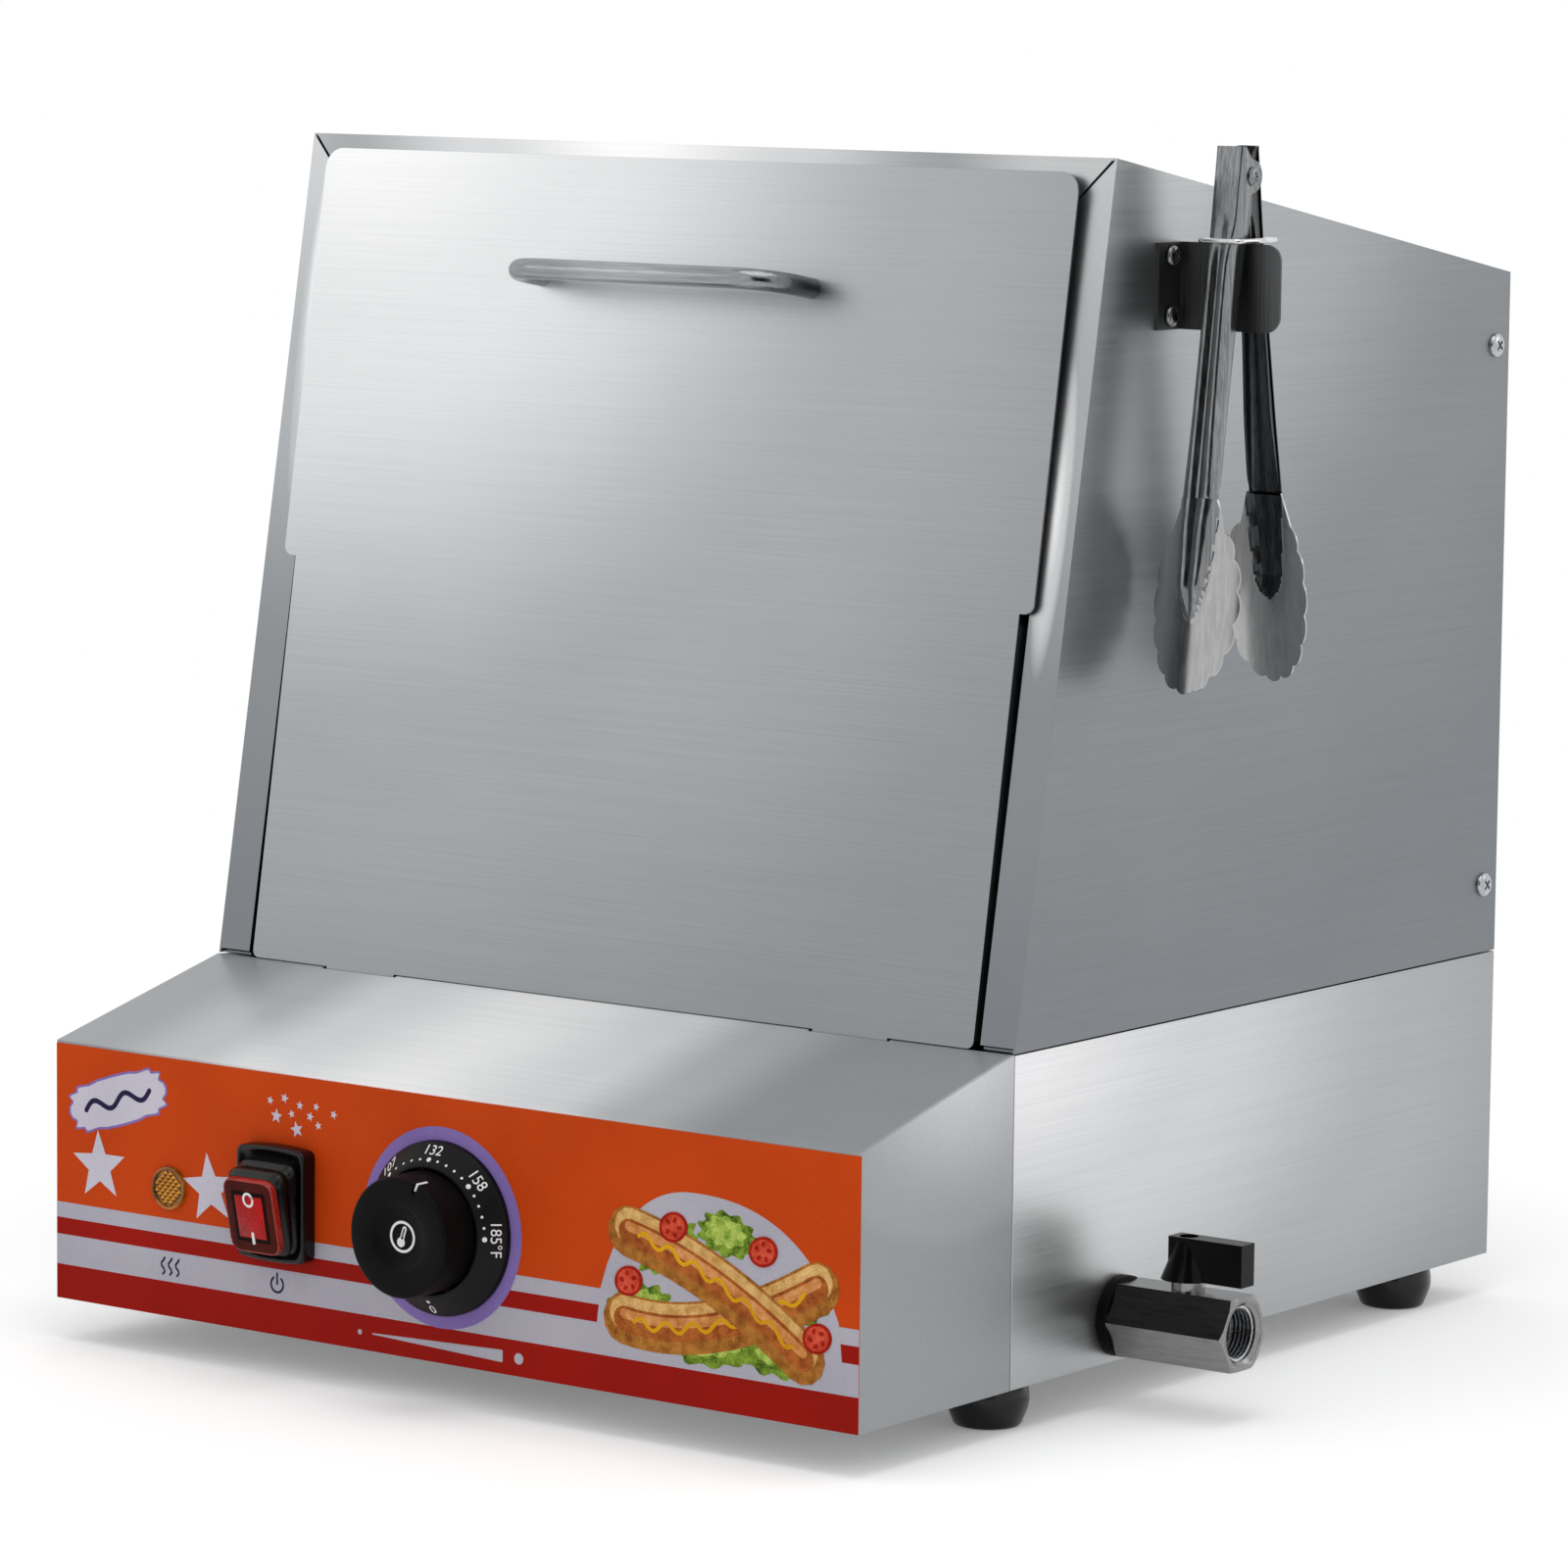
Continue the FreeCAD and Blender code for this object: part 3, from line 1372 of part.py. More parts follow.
os.makedirs("parts", exist_ok=True)
for node in nodes:
    shape = node()
    shape.translate(origin_shift)
    if not shape.isValid():
        print("not valid:", node.__name__)
    shape.exportStep("parts/" + node.__name__ + ".step")
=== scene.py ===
import json
import math
import random

import bmesh
import bpy
from mathutils import Matrix, Vector

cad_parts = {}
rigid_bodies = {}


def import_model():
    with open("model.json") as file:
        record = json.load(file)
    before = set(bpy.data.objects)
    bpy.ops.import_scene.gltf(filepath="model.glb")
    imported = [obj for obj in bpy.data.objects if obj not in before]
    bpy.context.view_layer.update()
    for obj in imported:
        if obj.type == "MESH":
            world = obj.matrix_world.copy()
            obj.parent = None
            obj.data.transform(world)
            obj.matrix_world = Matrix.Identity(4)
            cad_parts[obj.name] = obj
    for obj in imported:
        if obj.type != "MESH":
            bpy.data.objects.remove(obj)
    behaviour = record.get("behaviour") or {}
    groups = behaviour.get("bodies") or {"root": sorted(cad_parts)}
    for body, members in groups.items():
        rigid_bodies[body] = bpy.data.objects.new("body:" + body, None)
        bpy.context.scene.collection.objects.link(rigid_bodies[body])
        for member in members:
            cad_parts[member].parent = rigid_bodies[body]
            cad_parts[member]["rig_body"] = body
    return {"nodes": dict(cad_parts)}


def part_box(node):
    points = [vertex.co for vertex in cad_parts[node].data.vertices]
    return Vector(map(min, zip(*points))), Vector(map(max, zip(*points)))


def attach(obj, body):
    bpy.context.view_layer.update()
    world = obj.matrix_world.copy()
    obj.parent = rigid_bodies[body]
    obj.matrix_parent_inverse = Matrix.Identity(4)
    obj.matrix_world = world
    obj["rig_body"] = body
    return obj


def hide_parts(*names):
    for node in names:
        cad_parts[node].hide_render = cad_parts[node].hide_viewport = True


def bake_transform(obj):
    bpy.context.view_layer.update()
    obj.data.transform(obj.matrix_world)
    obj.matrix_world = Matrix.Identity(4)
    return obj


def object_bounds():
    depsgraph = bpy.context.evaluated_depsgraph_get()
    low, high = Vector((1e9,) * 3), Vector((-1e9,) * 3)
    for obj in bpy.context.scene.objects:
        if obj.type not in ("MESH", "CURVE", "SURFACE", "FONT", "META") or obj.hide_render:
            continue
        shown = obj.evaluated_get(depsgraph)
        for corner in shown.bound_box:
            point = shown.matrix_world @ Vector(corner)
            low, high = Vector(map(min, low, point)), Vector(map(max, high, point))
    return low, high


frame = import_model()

bl_info = {
    "name": "Hot dog steamer",
    "version": (1, 0, 0),
    "blender": (4, 5, 0),
    "location": "View3D > Sidebar > Steamer",
    "description": "Models and dresses a counter-top hot dog steamer around its packed frame",
    "category": "Object",
}

MM = 0.001
CAD_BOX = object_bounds()

# The drawing frame: x from the middle of the cabinet, y back from the control panel, z up from the base
SHELL_LOW, SHELL_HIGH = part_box("control_box_shell")
ORIGIN = Vector(((SHELL_LOW.x + SHELL_HIGH.x) / 2, SHELL_LOW.y, SHELL_LOW.z))
RIGHT, REAR, UP = Vector((1, 0, 0)), Vector((0, 1, 0)), Vector((0, 0, 1))
LEFT, FRONT = -RIGHT, -REAR
# Thickness of the panel's film and of one ink on it
FILM, INK = 0.4, 0.03


def spot(x, y, z):
    """A point of the drawing frame, in millimetres, as a point of the row frame."""
    return ORIGIN + Vector((x, y, z)) * MM


# Colours and nodes

# Nearly all values of a noise lie within the wide range, and most of them within the narrow one
NOISE_WIDE, NOISE_NARROW = (0.3, 0.7), (0.38, 0.62)
# Depth of the finest relief in metres
RELIEF = 0.0002


def linear(code):
    """An sRGB hex colour as linear red, green, blue and alpha."""
    parts = [int(code[i:i + 2], 16) / 255 for i in (1, 3, 5)]
    return tuple(c / 12.92 if c <= 0.04045 else ((c + 0.055) / 1.055) ** 2.4 for c in parts) + (1.0,)


def add(tree, kind, settings=None, links=None, stops=()):
    """One node. A setting is a property of the node or the value of a socket, a link feeds a socket,
    and stops are the (position, hex colour) pairs of a ramp."""
    made = tree.nodes.new(kind)
    for i, (position, code) in enumerate(stops):
        element = made.color_ramp.elements[i] if i < 2 else made.color_ramp.elements.new(position)
        element.position, element.color = position, linear(code)
    for name, value in (settings or {}).items():
        if isinstance(name, str) and hasattr(made, name):
            setattr(made, name, value)
        else:
            made.inputs[name].default_value = value
    for name, source in (links or {}).items():
        output = source if isinstance(source, bpy.types.NodeSocket) else source.outputs[0]
        tree.links.new(output, made.inputs[name])
    return made


def new_material(name):
    material = bpy.data.materials.new(name)
    material.use_nodes = True
    material.node_tree.nodes.clear()
    return material, material.node_tree


def object_place(tree, scale=(1, 1, 1), shift=(0, 0, 0)):
    """Object coordinates, stretched and shifted."""
    place = add(tree, "ShaderNodeTexCoord")
    return add(tree, "ShaderNodeMapping", {"Scale": scale, "Location": shift},
               {"Vector": place.outputs["Object"]})


def from_point(tree, centre, reach):
    """0 at a point of the drawing frame and 1 at the given reach, in millimetres, along x, y and z."""
    scale = [1 / (r * MM) if r else 0.0 for r in reach]
    place = spot(*centre)
    shift = [-s * c for s, c in zip(scale, place)]
    near = object_place(tree, scale, shift)
    return add(tree, "ShaderNodeVectorMath", {"operation": "LENGTH"}, {0: near}).outputs[1]


def two_tones(tree, grain, patches, share, light, dark, **settings):
    """(fine noise, its mix with slow clouds, ramp of the mix from the dark to the light colour)
    Grain and patches are per metre along x, y and z. Share is the clouds' part in the mix, and the
    settings are those of the fine noise."""
    fine = add(tree, "ShaderNodeTexNoise", {"Scale": 1.0, **settings}, {"Vector": object_place(tree, grain)})
    slow = add(tree, "ShaderNodeTexNoise", {"Scale": 1.0, "Detail": 2.0},
               {"Vector": object_place(tree, patches)})
    both = add(tree, "ShaderNodeMix", {"data_type": "FLOAT", 0: share}, {2: fine, 3: slow})
    ramp = add(tree, "ShaderNodeValToRGB", links={0: both}, stops=list(zip(NOISE_NARROW, (dark, light))))
    return fine, both, ramp


def surface(tree, tone, height, gloss, rough, spread, bump, settings):
    """The end of each material: relief from a height, and a roughness that strays about its mean."""
    low, high = NOISE_WIDE
    gloss = add(tree, "ShaderNodeMapRange",
                {1: low, 2: high, 3: rough - spread, 4: rough + spread}, {0: gloss})
    relief = add(tree, "ShaderNodeBump", {"Strength": bump, "Distance": RELIEF}, {"Height": height})
    shader = add(tree, "ShaderNodeBsdfPrincipled", settings,
                 {"Base Color": tone, "Roughness": gloss, "Normal": relief})
    add(tree, "ShaderNodeOutputMaterial", links={"Surface": shader})


def steel(name, light, dark, rough, spread, grain, bump=0.05, shade=(), scatter=0.0):
    """Stainless sheet, bar or wire. Grain is lines per metre along x, y and z.
    Shade holds painted reflections and painted highlights, slow changes of tone that stand in for the
    studio's light, and where they meet the lighter one shows.
    Scatter is the share of light that the grind throws about evenly, without an image in it."""
    material, tree = new_material(name)
    scratch, both, tone = two_tones(tree, grain, (14, 14, 14), 0.25, light, dark, Detail=4.0, Roughness=0.65)
    # The shade entries are painted reflections and painted highlights; the lightest of them is multiplied
    # into the grain's tone
    slow = None
    for centre, reach, stops in shade:
        ramp = add(tree, "ShaderNodeValToRGB", links={0: from_point(tree, centre, reach)}, stops=stops)
        ramp.color_ramp.interpolation = "EASE"
        slow = ramp if slow is None else add(
            tree, "ShaderNodeMix", {"data_type": "RGBA", "blend_type": "LIGHTEN", 0: 1.0},
            {6: slow, 7: ramp}).outputs[2]
    if slow is not None:
        tone = add(tree, "ShaderNodeMix", {"data_type": "RGBA", "blend_type": "MULTIPLY", 0: 1.0},
                   {6: slow, 7: tone}).outputs[2]
    surface(tree, tone, scratch, both, rough, spread, bump, {"Metallic": 1.0 - scatter})
    return material


def moulded(name, light, dark, rough, spread, grit, sheen=0.5, bump=0.1, patches=60):
    """Moulded plastic, rubber or a printed film. Grit is its grains per metre and patches its slow clouds
    per metre. Sheen is how strongly it mirrors."""
    material, tree = new_material(name)
    grain, _, tone = two_tones(tree, [grit] * 3, [patches] * 3, 0.5, light, dark, Detail=3.0)
    surface(tree, tone, grain, grain, rough, spread, bump, {"Specular IOR Level": sheen})
    return material


FINISHES = {}
# Grain of belt-ground sheet is about 0.1 mm wide; it is drawn 1 mm wide, or it wouldn't show
ALONG_X, ALONG_Y = (9, 1500, 1500), (1500, 9, 1500)
# Painted reflections and painted highlights on the ground sheets, bright where a studio light would mirror in
# them and darker away from it: (centre, reach, stops) from a point of the drawing frame
PAINTED_REFLECTION_DOOR = [((-160, 150, 480), (560, 560, 560),
              [(0.0, "#eeeeee"), (0.22, "#d6d7d8"), (0.5, "#a6a8aa"), (0.8, "#929598"), (1.0, "#8f9295")])]
PAINTED_REFLECTION_WALL = [((190, 150, 450), (0, 420, 330),
              [(0.0, "#c0c2c4"), (0.3, "#a8abad"), (0.65, "#8b8e91"), (1.0, "#808488")])]
PAINTED_HIGHLIGHT_FLANGE_RIGHT = [((180.4, 0, 318), (9.7, 0, 85), [(0.0, "#f8f8f8"), (0.45, "#c8cacc"), (1.0, "#000000")])]
PAINTED_HIGHLIGHT_FLANGE_LEFT = [((-180.4, 0, 385), (9.7, 0, 130), [(0.0, "#e6e6e7"), (0.5, "#b4b6b8"), (1.0, "#000000")])]
PAINTED_REFLECTION_TANK = [((190, 93, 123), (0, 430, 220),
              [(0.0, "#eeedef"), (0.3, "#d0d2d3"), (0.65, "#aeb0b2"), (1.0, "#989b9e")])]
PAINTED_HIGHLIGHT_SLOPE = [((-20, 0, 0), (200, 0, 0),
               [(0.0, "#ffffff"), (0.33, "#e2e3e4"), (0.53, "#b8babc"), (0.75, "#96999c"), (1.0, "#979a9d")])]
PAINTED_HIGHLIGHT_BOX_SIDE = [((190, 60, 130), (4, 140, 105), [(0.0, "#d6d8da"), (0.6, "#a0a2a4"), (1.0, "#000000")])]
PAINTED_REFLECTION_BAR = [((0, 0, 0), (80, 0, 0),
             [(0.0, "#f4f4f4"), (0.7, "#dcdcdc"), (0.88, "#8c8c8c"), (1.0, "#565656")])]
PAINTED_HIGHLIGHT_ROOF = [((-30, 0, 0), (190, 0, 0),
              [(0.0, "#eaeaea"), (0.4, "#c8c9ca"), (0.75, "#9c9ea0"), (1.0, "#c0c1c2")])]
# Inks of the print as (light, dark); those of the food are speckled
INKS = {
    "orange": ("#c8450c", "#b83d0a"), "red": ("#9c1408", "#8a0f05"), "lilac": ("#b2b0ba", "#a4a2ae"),
    "star": ("#ccc9d4", "#bebbc8"), "purple": ("#8a74b4", "#7a66a6"), "plum": ("#2c2448", "#221a3c"),
    "leaf": ("#8aa838", "#2e4a0c"), "leaf_light": ("#bccc66", "#688c20"),
    "sausage": ("#b8682c", "#7c3814"), "sausage_light": ("#dca064", "#b4682c"),
    "bun": ("#b87a34", "#7c4614"), "bun_light": ("#e2ba78", "#b4803c"),
    "tomato": ("#b42410", "#861208"), "tomato_light": ("#d85a40", "#b02c18"),
    "mustard": ("#e0a818", "#c0840a"),
}
FOOD = ("leaf", "leaf_light", "sausage", "sausage_light", "bun", "bun_light", "tomato", "tomato_light")


def make_finishes():
    """Every material of the steamer, each named after the real one and how it was made."""
    metals = (
        # Stainless sheet, cold rolled and belt ground: soft broad reflections with fine lines along the grind
        ("sheet", "stainless_sheet_belt_ground", "#a2a4a6", "#94969a", 0.34, 0.04, ALONG_X),
        # Door, walls, roof, tank and box are white steel under painted reflections and painted highlights
        # from their shade lists
        ("door", "stainless_door_belt_ground", "#ffffff", "#f4f4f4", 0.36, 0.04, ALONG_X, 0.05, PAINTED_REFLECTION_DOOR),
        ("wall", "stainless_wall_belt_ground", "#ffffff", "#f4f4f4", 0.34, 0.04, ALONG_Y, 0.05,
         PAINTED_REFLECTION_WALL + PAINTED_HIGHLIGHT_FLANGE_RIGHT),
        ("wall_left", "stainless_wall_left_belt_ground", "#ffffff", "#f4f4f4", 0.34, 0.04, ALONG_Y, 0.05,
         PAINTED_REFLECTION_WALL + PAINTED_HIGHLIGHT_FLANGE_LEFT),
        ("roof", "stainless_roof_belt_ground", "#ffffff", "#f4f4f4", 0.34, 0.04, ALONG_X, 0.05, PAINTED_HIGHLIGHT_ROOF),
        ("tank", "stainless_tank_belt_ground", "#ffffff", "#f4f4f4", 0.36, 0.04, ALONG_Y, 0.05, PAINTED_REFLECTION_TANK),
        ("box", "stainless_box_belt_ground", "#ffffff", "#f2f2f2", 0.34, 0.04, ALONG_X, 0.05,
         PAINTED_HIGHLIGHT_SLOPE + PAINTED_HIGHLIGHT_BOX_SIDE, 0.8),
        # Drawn bar, satin polished along its length: one clear bright line, and painted dark reflections that
        # darken it towards its bends at both ends
        ("bar", "stainless_bar_satin_painted_reflection", "#b4b5b7", "#989a9c", 0.2, 0.05, (60, 1100, 1100), 0.05, PAINTED_REFLECTION_BAR),
        # Zinc plated steel: bright, slightly blue
        ("zinc", "zinc_plated_steel", "#c8cacd", "#a4a7ab", 0.24, 0.06, (500, 500, 500)),
        # Mill finish of trays and rails: even and duller
        ("mill", "stainless_sheet_mill", "#adafb1", "#a2a4a6", 0.38, 0.04, (1600, 1600, 1600), 0.03),
        # Pressed and barrel polished stainless of the tongs: mirror patches. The front arm's channel is
        # darker, a painted dark reflection, and the rear arm's darker still, painted shade
        ("tongs", "stainless_pressed_polished", "#b4b4b4", "#a2a2a2", 0.18, 0.04, (700, 700, 25), 0.02),
        ("arm", "stainless_pressed_painted_dark_reflection", "#929496", "#6c6e70", 0.22, 0.05, (1200, 1200, 16)),
        ("arm_painted_shade", "stainless_pressed_painted_shade", "#515356", "#36383a", 0.34, 0.05, (1200, 1200, 16)),
        # The bracket is coloured dark, a painted reflection of the dark side of the room, and so are its
        # screws and the tongs' rivet
        ("bracket", "stainless_bracket_satin", "#5e5f60", "#505152", 0.42, 0.05, (1100, 1100, 20)),
        ("zinc_painted_dark", "zinc_plated_painted_dark_reflection", "#8a8b8d", "#66676a", 0.22, 0.06, (500, 500, 500)),
        # Cold drawn wire: clean and bright
        ("wire", "stainless_wire_drawn", "#dcdcdc", "#c0c0c0", 0.18, 0.04, (300, 300, 300)),
        # Nickel plated brass, milled and turned: clear reflections, a little warm
        ("nickel", "brass_nickel_plated", "#8e8e8d", "#7c7c7b", 0.2, 0.04, (90, 900, 900), 0.02),
        # A darker copy of the nickel: painted dark reflection on the valve's upper front facets, painted
        # shade in the thread's roots
        ("nickel_painted_dark", "brass_nickel_plated_painted_dark", "#3a3a39", "#2c2c2b", 0.2, 0.04, (90, 900, 900), 0.02),
        # Annealed steel tube of the heating element: dark grey with a brown cast
        ("sheath", "steel_tube_annealed", "#8a857e", "#6c665f", 0.45, 0.08, (80, 300, 300)),
        # Drawn copper capillary: warm and dull
        ("copper", "copper_tube_drawn", "#c8815e", "#a8674a", 0.3, 0.06, (200, 200, 200)))
    mouldings = (
        # Moulded black plastics, from satin to glossy
        ("dial", "abs_black_satin", "#100f10", "#080808", 0.42, 0.08, 1500, 0.15),
        ("knob", "phenolic_black_moulded", "#100f0f", "#080808", 0.4, 0.06, 2500, 0.06),
        ("boot", "silicone_black_moulded", "#0c0c0c", "#060606", 0.3, 0.05, 900, 0.3),
        ("lever", "nylon_black_glossy", "#050505", "#030303", 0.22, 0.04, 700, 0.12),
        ("rubber", "rubber_black_glossy", "#070707", "#040404", 0.2, 0.04, 500, 0.35),
        ("washer", "rubber_black_matt", "#0a0a0a", "#060606", 0.45, 0.08, 900, 0.06),
        ("bakelite", "bakelite_brown_moulded", "#2b201c", "#1e1613", 0.35, 0.06, 700),
        # White mouldings of lamp holder, terminals and valve seats: warm and even
        ("lamp_body", "polycarbonate_white_moulded", "#ddd9cf", "#cdc9bf", 0.4, 0.05, 900),
        ("seat", "ptfe_white_turned", "#eceae4", "#dedcd6", 0.5, 0.05, 900),
        # Clear amber and red caps of lamp and switch. The lamp's lens is bright amber on facets towards the
        # upper left, a painted highlight, and dark amber on the rest, painted shade; the switch's cap is dark
        # red with a near black frame round its bright red window and a lighter red rim
        ("amber", "polycarbonate_amber_faceted", "#f0a616", "#c87c08", 0.15, 0.03, 1400),
        ("amber_painted_shade", "polycarbonate_amber_painted_shade", "#6a3a04", "#3c1e02", 0.15, 0.03, 1400),
        ("amber_rim", "polycarbonate_amber_rim", "#b06c0a", "#4a2a04", 0.15, 0.03, 300),
        ("cap", "silicone_smoked_red", "#501408", "#3a0e08", 0.2, 0.03, 900, 0.06),
        ("cap_inner", "silicone_smoked_black", "#1c0604", "#120302", 0.25, 0.03, 900, 0.04),
        ("cap_rim", "silicone_red_edge", "#a82c22", "#7c1610", 0.2, 0.03, 900, 0.4),
        ("rocker", "polycarbonate_red_moulded", "#bc0a04", "#860402", 0.3, 0.05, 1600, 0.15),
        # White paint in the marks of dial, knob and switch: matt and clean
        ("mark", "paint_white_pad_printed", "#e8e8e8", "#d8d8d8", 0.5, 0.05, 1500))
    for key, *values in metals:
        FINISHES[key] = steel(*values)
    for key, *values in mouldings:
        FINISHES[key] = moulded(*values)
    # Silk screen inks on matt polyester film, with a fine dither of about 0.5 mm
    printing = [("film", "film_printed_orange", INKS["orange"])]
    printing += [(ink, "film_ink_" + ink, colours) for ink, colours in INKS.items()]
    for key, name, colours in printing:
        patches = 260 if key in FOOD else 20
        FINISHES[key] = moulded(name, *colours, 0.45, 0.05, 2200, 0.06, 0.03, patches)


# Modelling by hand


def clear_selection():
    if bpy.context.object and bpy.context.object.mode != "OBJECT":
        bpy.ops.object.mode_set(mode="OBJECT")
    bpy.ops.object.select_all(action="DESELECT")


def pick(*pieces):
    clear_selection()
    for piece in pieces:
        piece.select_set(True)
    bpy.context.view_layer.objects.active = pieces[0]


def edit(piece):
    """Edit mode with nothing selected."""
    pick(piece)
    bpy.ops.object.mode_set(mode="EDIT")
    bpy.ops.mesh.select_mode(type="FACE")
    bpy.ops.mesh.select_all(action="DESELECT")


def choose(piece, test):
    """Selects in edit mode the faces that pass the test."""
    mesh = bmesh.from_edit_mesh(piece.data)
    for face in mesh.faces:
        face.select_set(bool(test(face)))
    mesh.select_flush_mode()
    bmesh.update_edit_mesh(piece.data)


def close_up(piece, merge=0.002):
    """Merges doubles and turns every face outwards."""
    bpy.ops.mesh.select_all(action="SELECT")
    bpy.ops.mesh.remove_doubles(threshold=merge * MM)
    bpy.ops.mesh.normals_make_consistent(inside=False)
    bpy.ops.object.mode_set(mode="OBJECT")
    return piece


def apply_modifier(piece, kind, **settings):
    pick(piece)
    modifier = piece.modifiers.new(kind.lower(), kind)
    for name, value in settings.items():
        setattr(modifier, name, value)
    bpy.ops.object.modifier_apply(modifier=modifier.name)
    return piece


def bevel(piece, width, segments=2, limit=35):
    return apply_modifier(piece, "BEVEL", width=width * MM, segments=segments, limit_method="ANGLE",
                          angle_limit=math.radians(limit), use_clamp_overlap=True)


def carve(piece, cutter, operation="DIFFERENCE"):
    """Boolean with another piece, which is used up."""
    apply_modifier(piece, "BOOLEAN", object=cutter, operation=operation, solver="EXACT")
    bpy.data.objects.remove(cutter)
    return piece


def smooth(piece, degrees=35):
    pick(piece)
    bpy.ops.object.shade_smooth_by_angle(angle=math.radians(degrees), keep_sharp_edges=False)
    return piece


def paint(piece, *finishes):
    piece.data.materials.clear()
    for finish in finishes:
        piece.data.materials.append(FINISHES[finish])
    return piece


def joined(name, pieces):
    pick(*pieces)
    bpy.ops.object.join()
    piece = bpy.context.object
    piece.name = name
    return piece


def dressed(piece, body, *nodes, slot=None):
    """The piece rides on a body and stands for its nodes."""
    if nodes:
        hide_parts(*nodes)
    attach(piece, body)
    return piece


def drawn(name, points, closed=False):
    """A chain of edges, drawn by extruding one point from place to place. It stays in edit mode."""
    clear_selection()
    bpy.ops.mesh.primitive_plane_add(size=MM, location=points[0])
    piece = bpy.context.object
    piece.name = name
    bpy.ops.object.transform_apply(location=True, rotation=False, scale=False)
    bpy.ops.object.mode_set(mode="EDIT")
    bpy.ops.mesh.select_mode(type="VERT")
    bpy.ops.mesh.select_all(action="SELECT")
    bpy.ops.mesh.merge(type="CENTER")
    for start, stop in zip(points, points[1:]):
        bpy.ops.mesh.extrude_region_move(TRANSFORM_OT_translate={"value": stop - start})
    if closed:
        bpy.ops.mesh.select_all(action="DESELECT")
        mesh = bmesh.from_edit_mesh(piece.data)
        mesh.verts.ensure_lookup_table()
        mesh.verts[0].select_set(True)
        mesh.verts[len(mesh.verts) - 1].select_set(True)
        bmesh.update_edit_mesh(piece.data)
        bpy.ops.mesh.edge_face_add()
    bpy.ops.mesh.select_all(action="SELECT")
    return piece


def turned(name, profile, centre, axis, steps=64):
    """A profile of (radius, height) points, in millimetres, spun about an axis."""
    side = axis.orthogonal().normalized()
    piece = drawn(name, [centre + (side * r + axis * h) * MM for r, h in profile])
    bpy.ops.mesh.spin(steps=steps, angle=math.tau, center=centre, axis=axis)
    close_up(piece)
    return smooth(piece)


def slab(name, outline, run):
    """A closed outline, filled and drawn out."""
    piece = drawn(name, outline, closed=True)
    bpy.ops.mesh.edge_face_add()
    bpy.ops.mesh.extrude_region_move(TRANSFORM_OT_translate={"value": run})
    return close_up(piece)


def bowed(start, middle, stop, t):
    """A point of the curve from start to stop that leans towards the middle."""
    return start * (1 - t) ** 2 + middle * 2 * t * (1 - t) + stop * t * t


def eased(corners, parts=5):
    """Corners are (x, y, radius); the result runs round each of them in short steps."""
    points = []
    count = len(corners)
    for i, (x, y, radius) in enumerate(corners):
        here = Vector((x, y))
        if not radius:
            points.append(here)
            continue
        back = Vector(corners[i - 1][:2]) - here
        ahead = Vector(corners[(i + 1) % count][:2]) - here
        half = back.angle(ahead) / 2
        reach = min(radius / math.tan(half), back.length / 2, ahead.length / 2)
        start, stop = here + back.normalized() * reach, here + ahead.normalized() * reach
        points += [bowed(start, here, stop, k / parts) for k in range(parts + 1)]
    return points


def ring_of(width, height, radius, parts=5):
    """Outline of a rectangle with round corners, centred on 0."""
    w, h = width / 2, height / 2
    return eased([(-w, -h, radius), (w, -h, radius), (w, h, radius), (-w, h, radius)], parts=parts)


def loft(name, rings, caps=(True, True)):
    """Rings with as many points each, bridged one after another."""
    first = drawn(name, rings[0], closed=True)
    count = len(rings[0])
    if caps[0]:
        bpy.ops.mesh.edge_face_add()
    for ring in rings[1:]:
        bpy.ops.mesh.select_mode(type="EDGE")
        mesh = bmesh.from_edit_mesh(first.data)
        mesh.verts.ensure_lookup_table()
        start = len(mesh.verts) - count
        for part in list(mesh.faces) + list(mesh.edges):
            part.select_set(False)
        for edge in mesh.edges:
            if all(v.index >= start for v in edge.verts):
                edge.select_set(True)
        bmesh.update_edit_mesh(first.data)
        bpy.ops.mesh.extrude_edges_move()
        mesh = bmesh.from_edit_mesh(first.data)
        mesh.verts.ensure_lookup_table()
        for vertex, place in zip(mesh.verts[-count:], ring):
            vertex.co = place
        bmesh.update_edit_mesh(first.data)
    if caps[1]:
        bpy.ops.mesh.edge_face_add()
    return close_up(first)


def islands(node):
    """(lowest corner, highest corner) of each loose part of a node."""
    probe = copy_of(node, "probe")
    mesh = bmesh.new()
    mesh.from_mesh(probe.data)
    left, found = set(mesh.verts), []
    while left:
        stack = [left.pop()]
        low, high = stack[0].co.copy(), stack[0].co.copy()
        while stack:
            vertex = stack.pop()
            low = Vector(map(min, low, vertex.co))
            high = Vector(map(max, high, vertex.co))
            for edge in vertex.link_edges:
                other = edge.other_vert(vertex)
                if other in left:
                    left.remove(other)
                    stack.append(other)
        found.append((low, high))
    mesh.free()
    bpy.data.objects.remove(probe)
    return sorted(found, key=lambda box: tuple(round(c, 5) for c in box[0]))


def node_body(node):
    return frame["nodes"][node]["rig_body"]


def copy_of(node, name):
    """A node's mesh as a new piece, its loose triangles merged to whole faces."""
    piece = bpy.data.objects.new(name, frame["nodes"][node].data.copy())
    bpy.context.scene.collection.objects.link(piece)
    piece.data.materials.clear()
    pick(piece)
    bpy.ops.object.mode_set(mode="EDIT")
    bpy.ops.mesh.select_all(action="SELECT")
    bpy.ops.mesh.customdata_custom_splitnormals_clear()
    bpy.ops.mesh.remove_doubles(threshold=0.002 * MM)
    bpy.ops.mesh.dissolve_limited(angle_limit=math.radians(1.0))
    bpy.ops.object.mode_set(mode="OBJECT")
    return piece


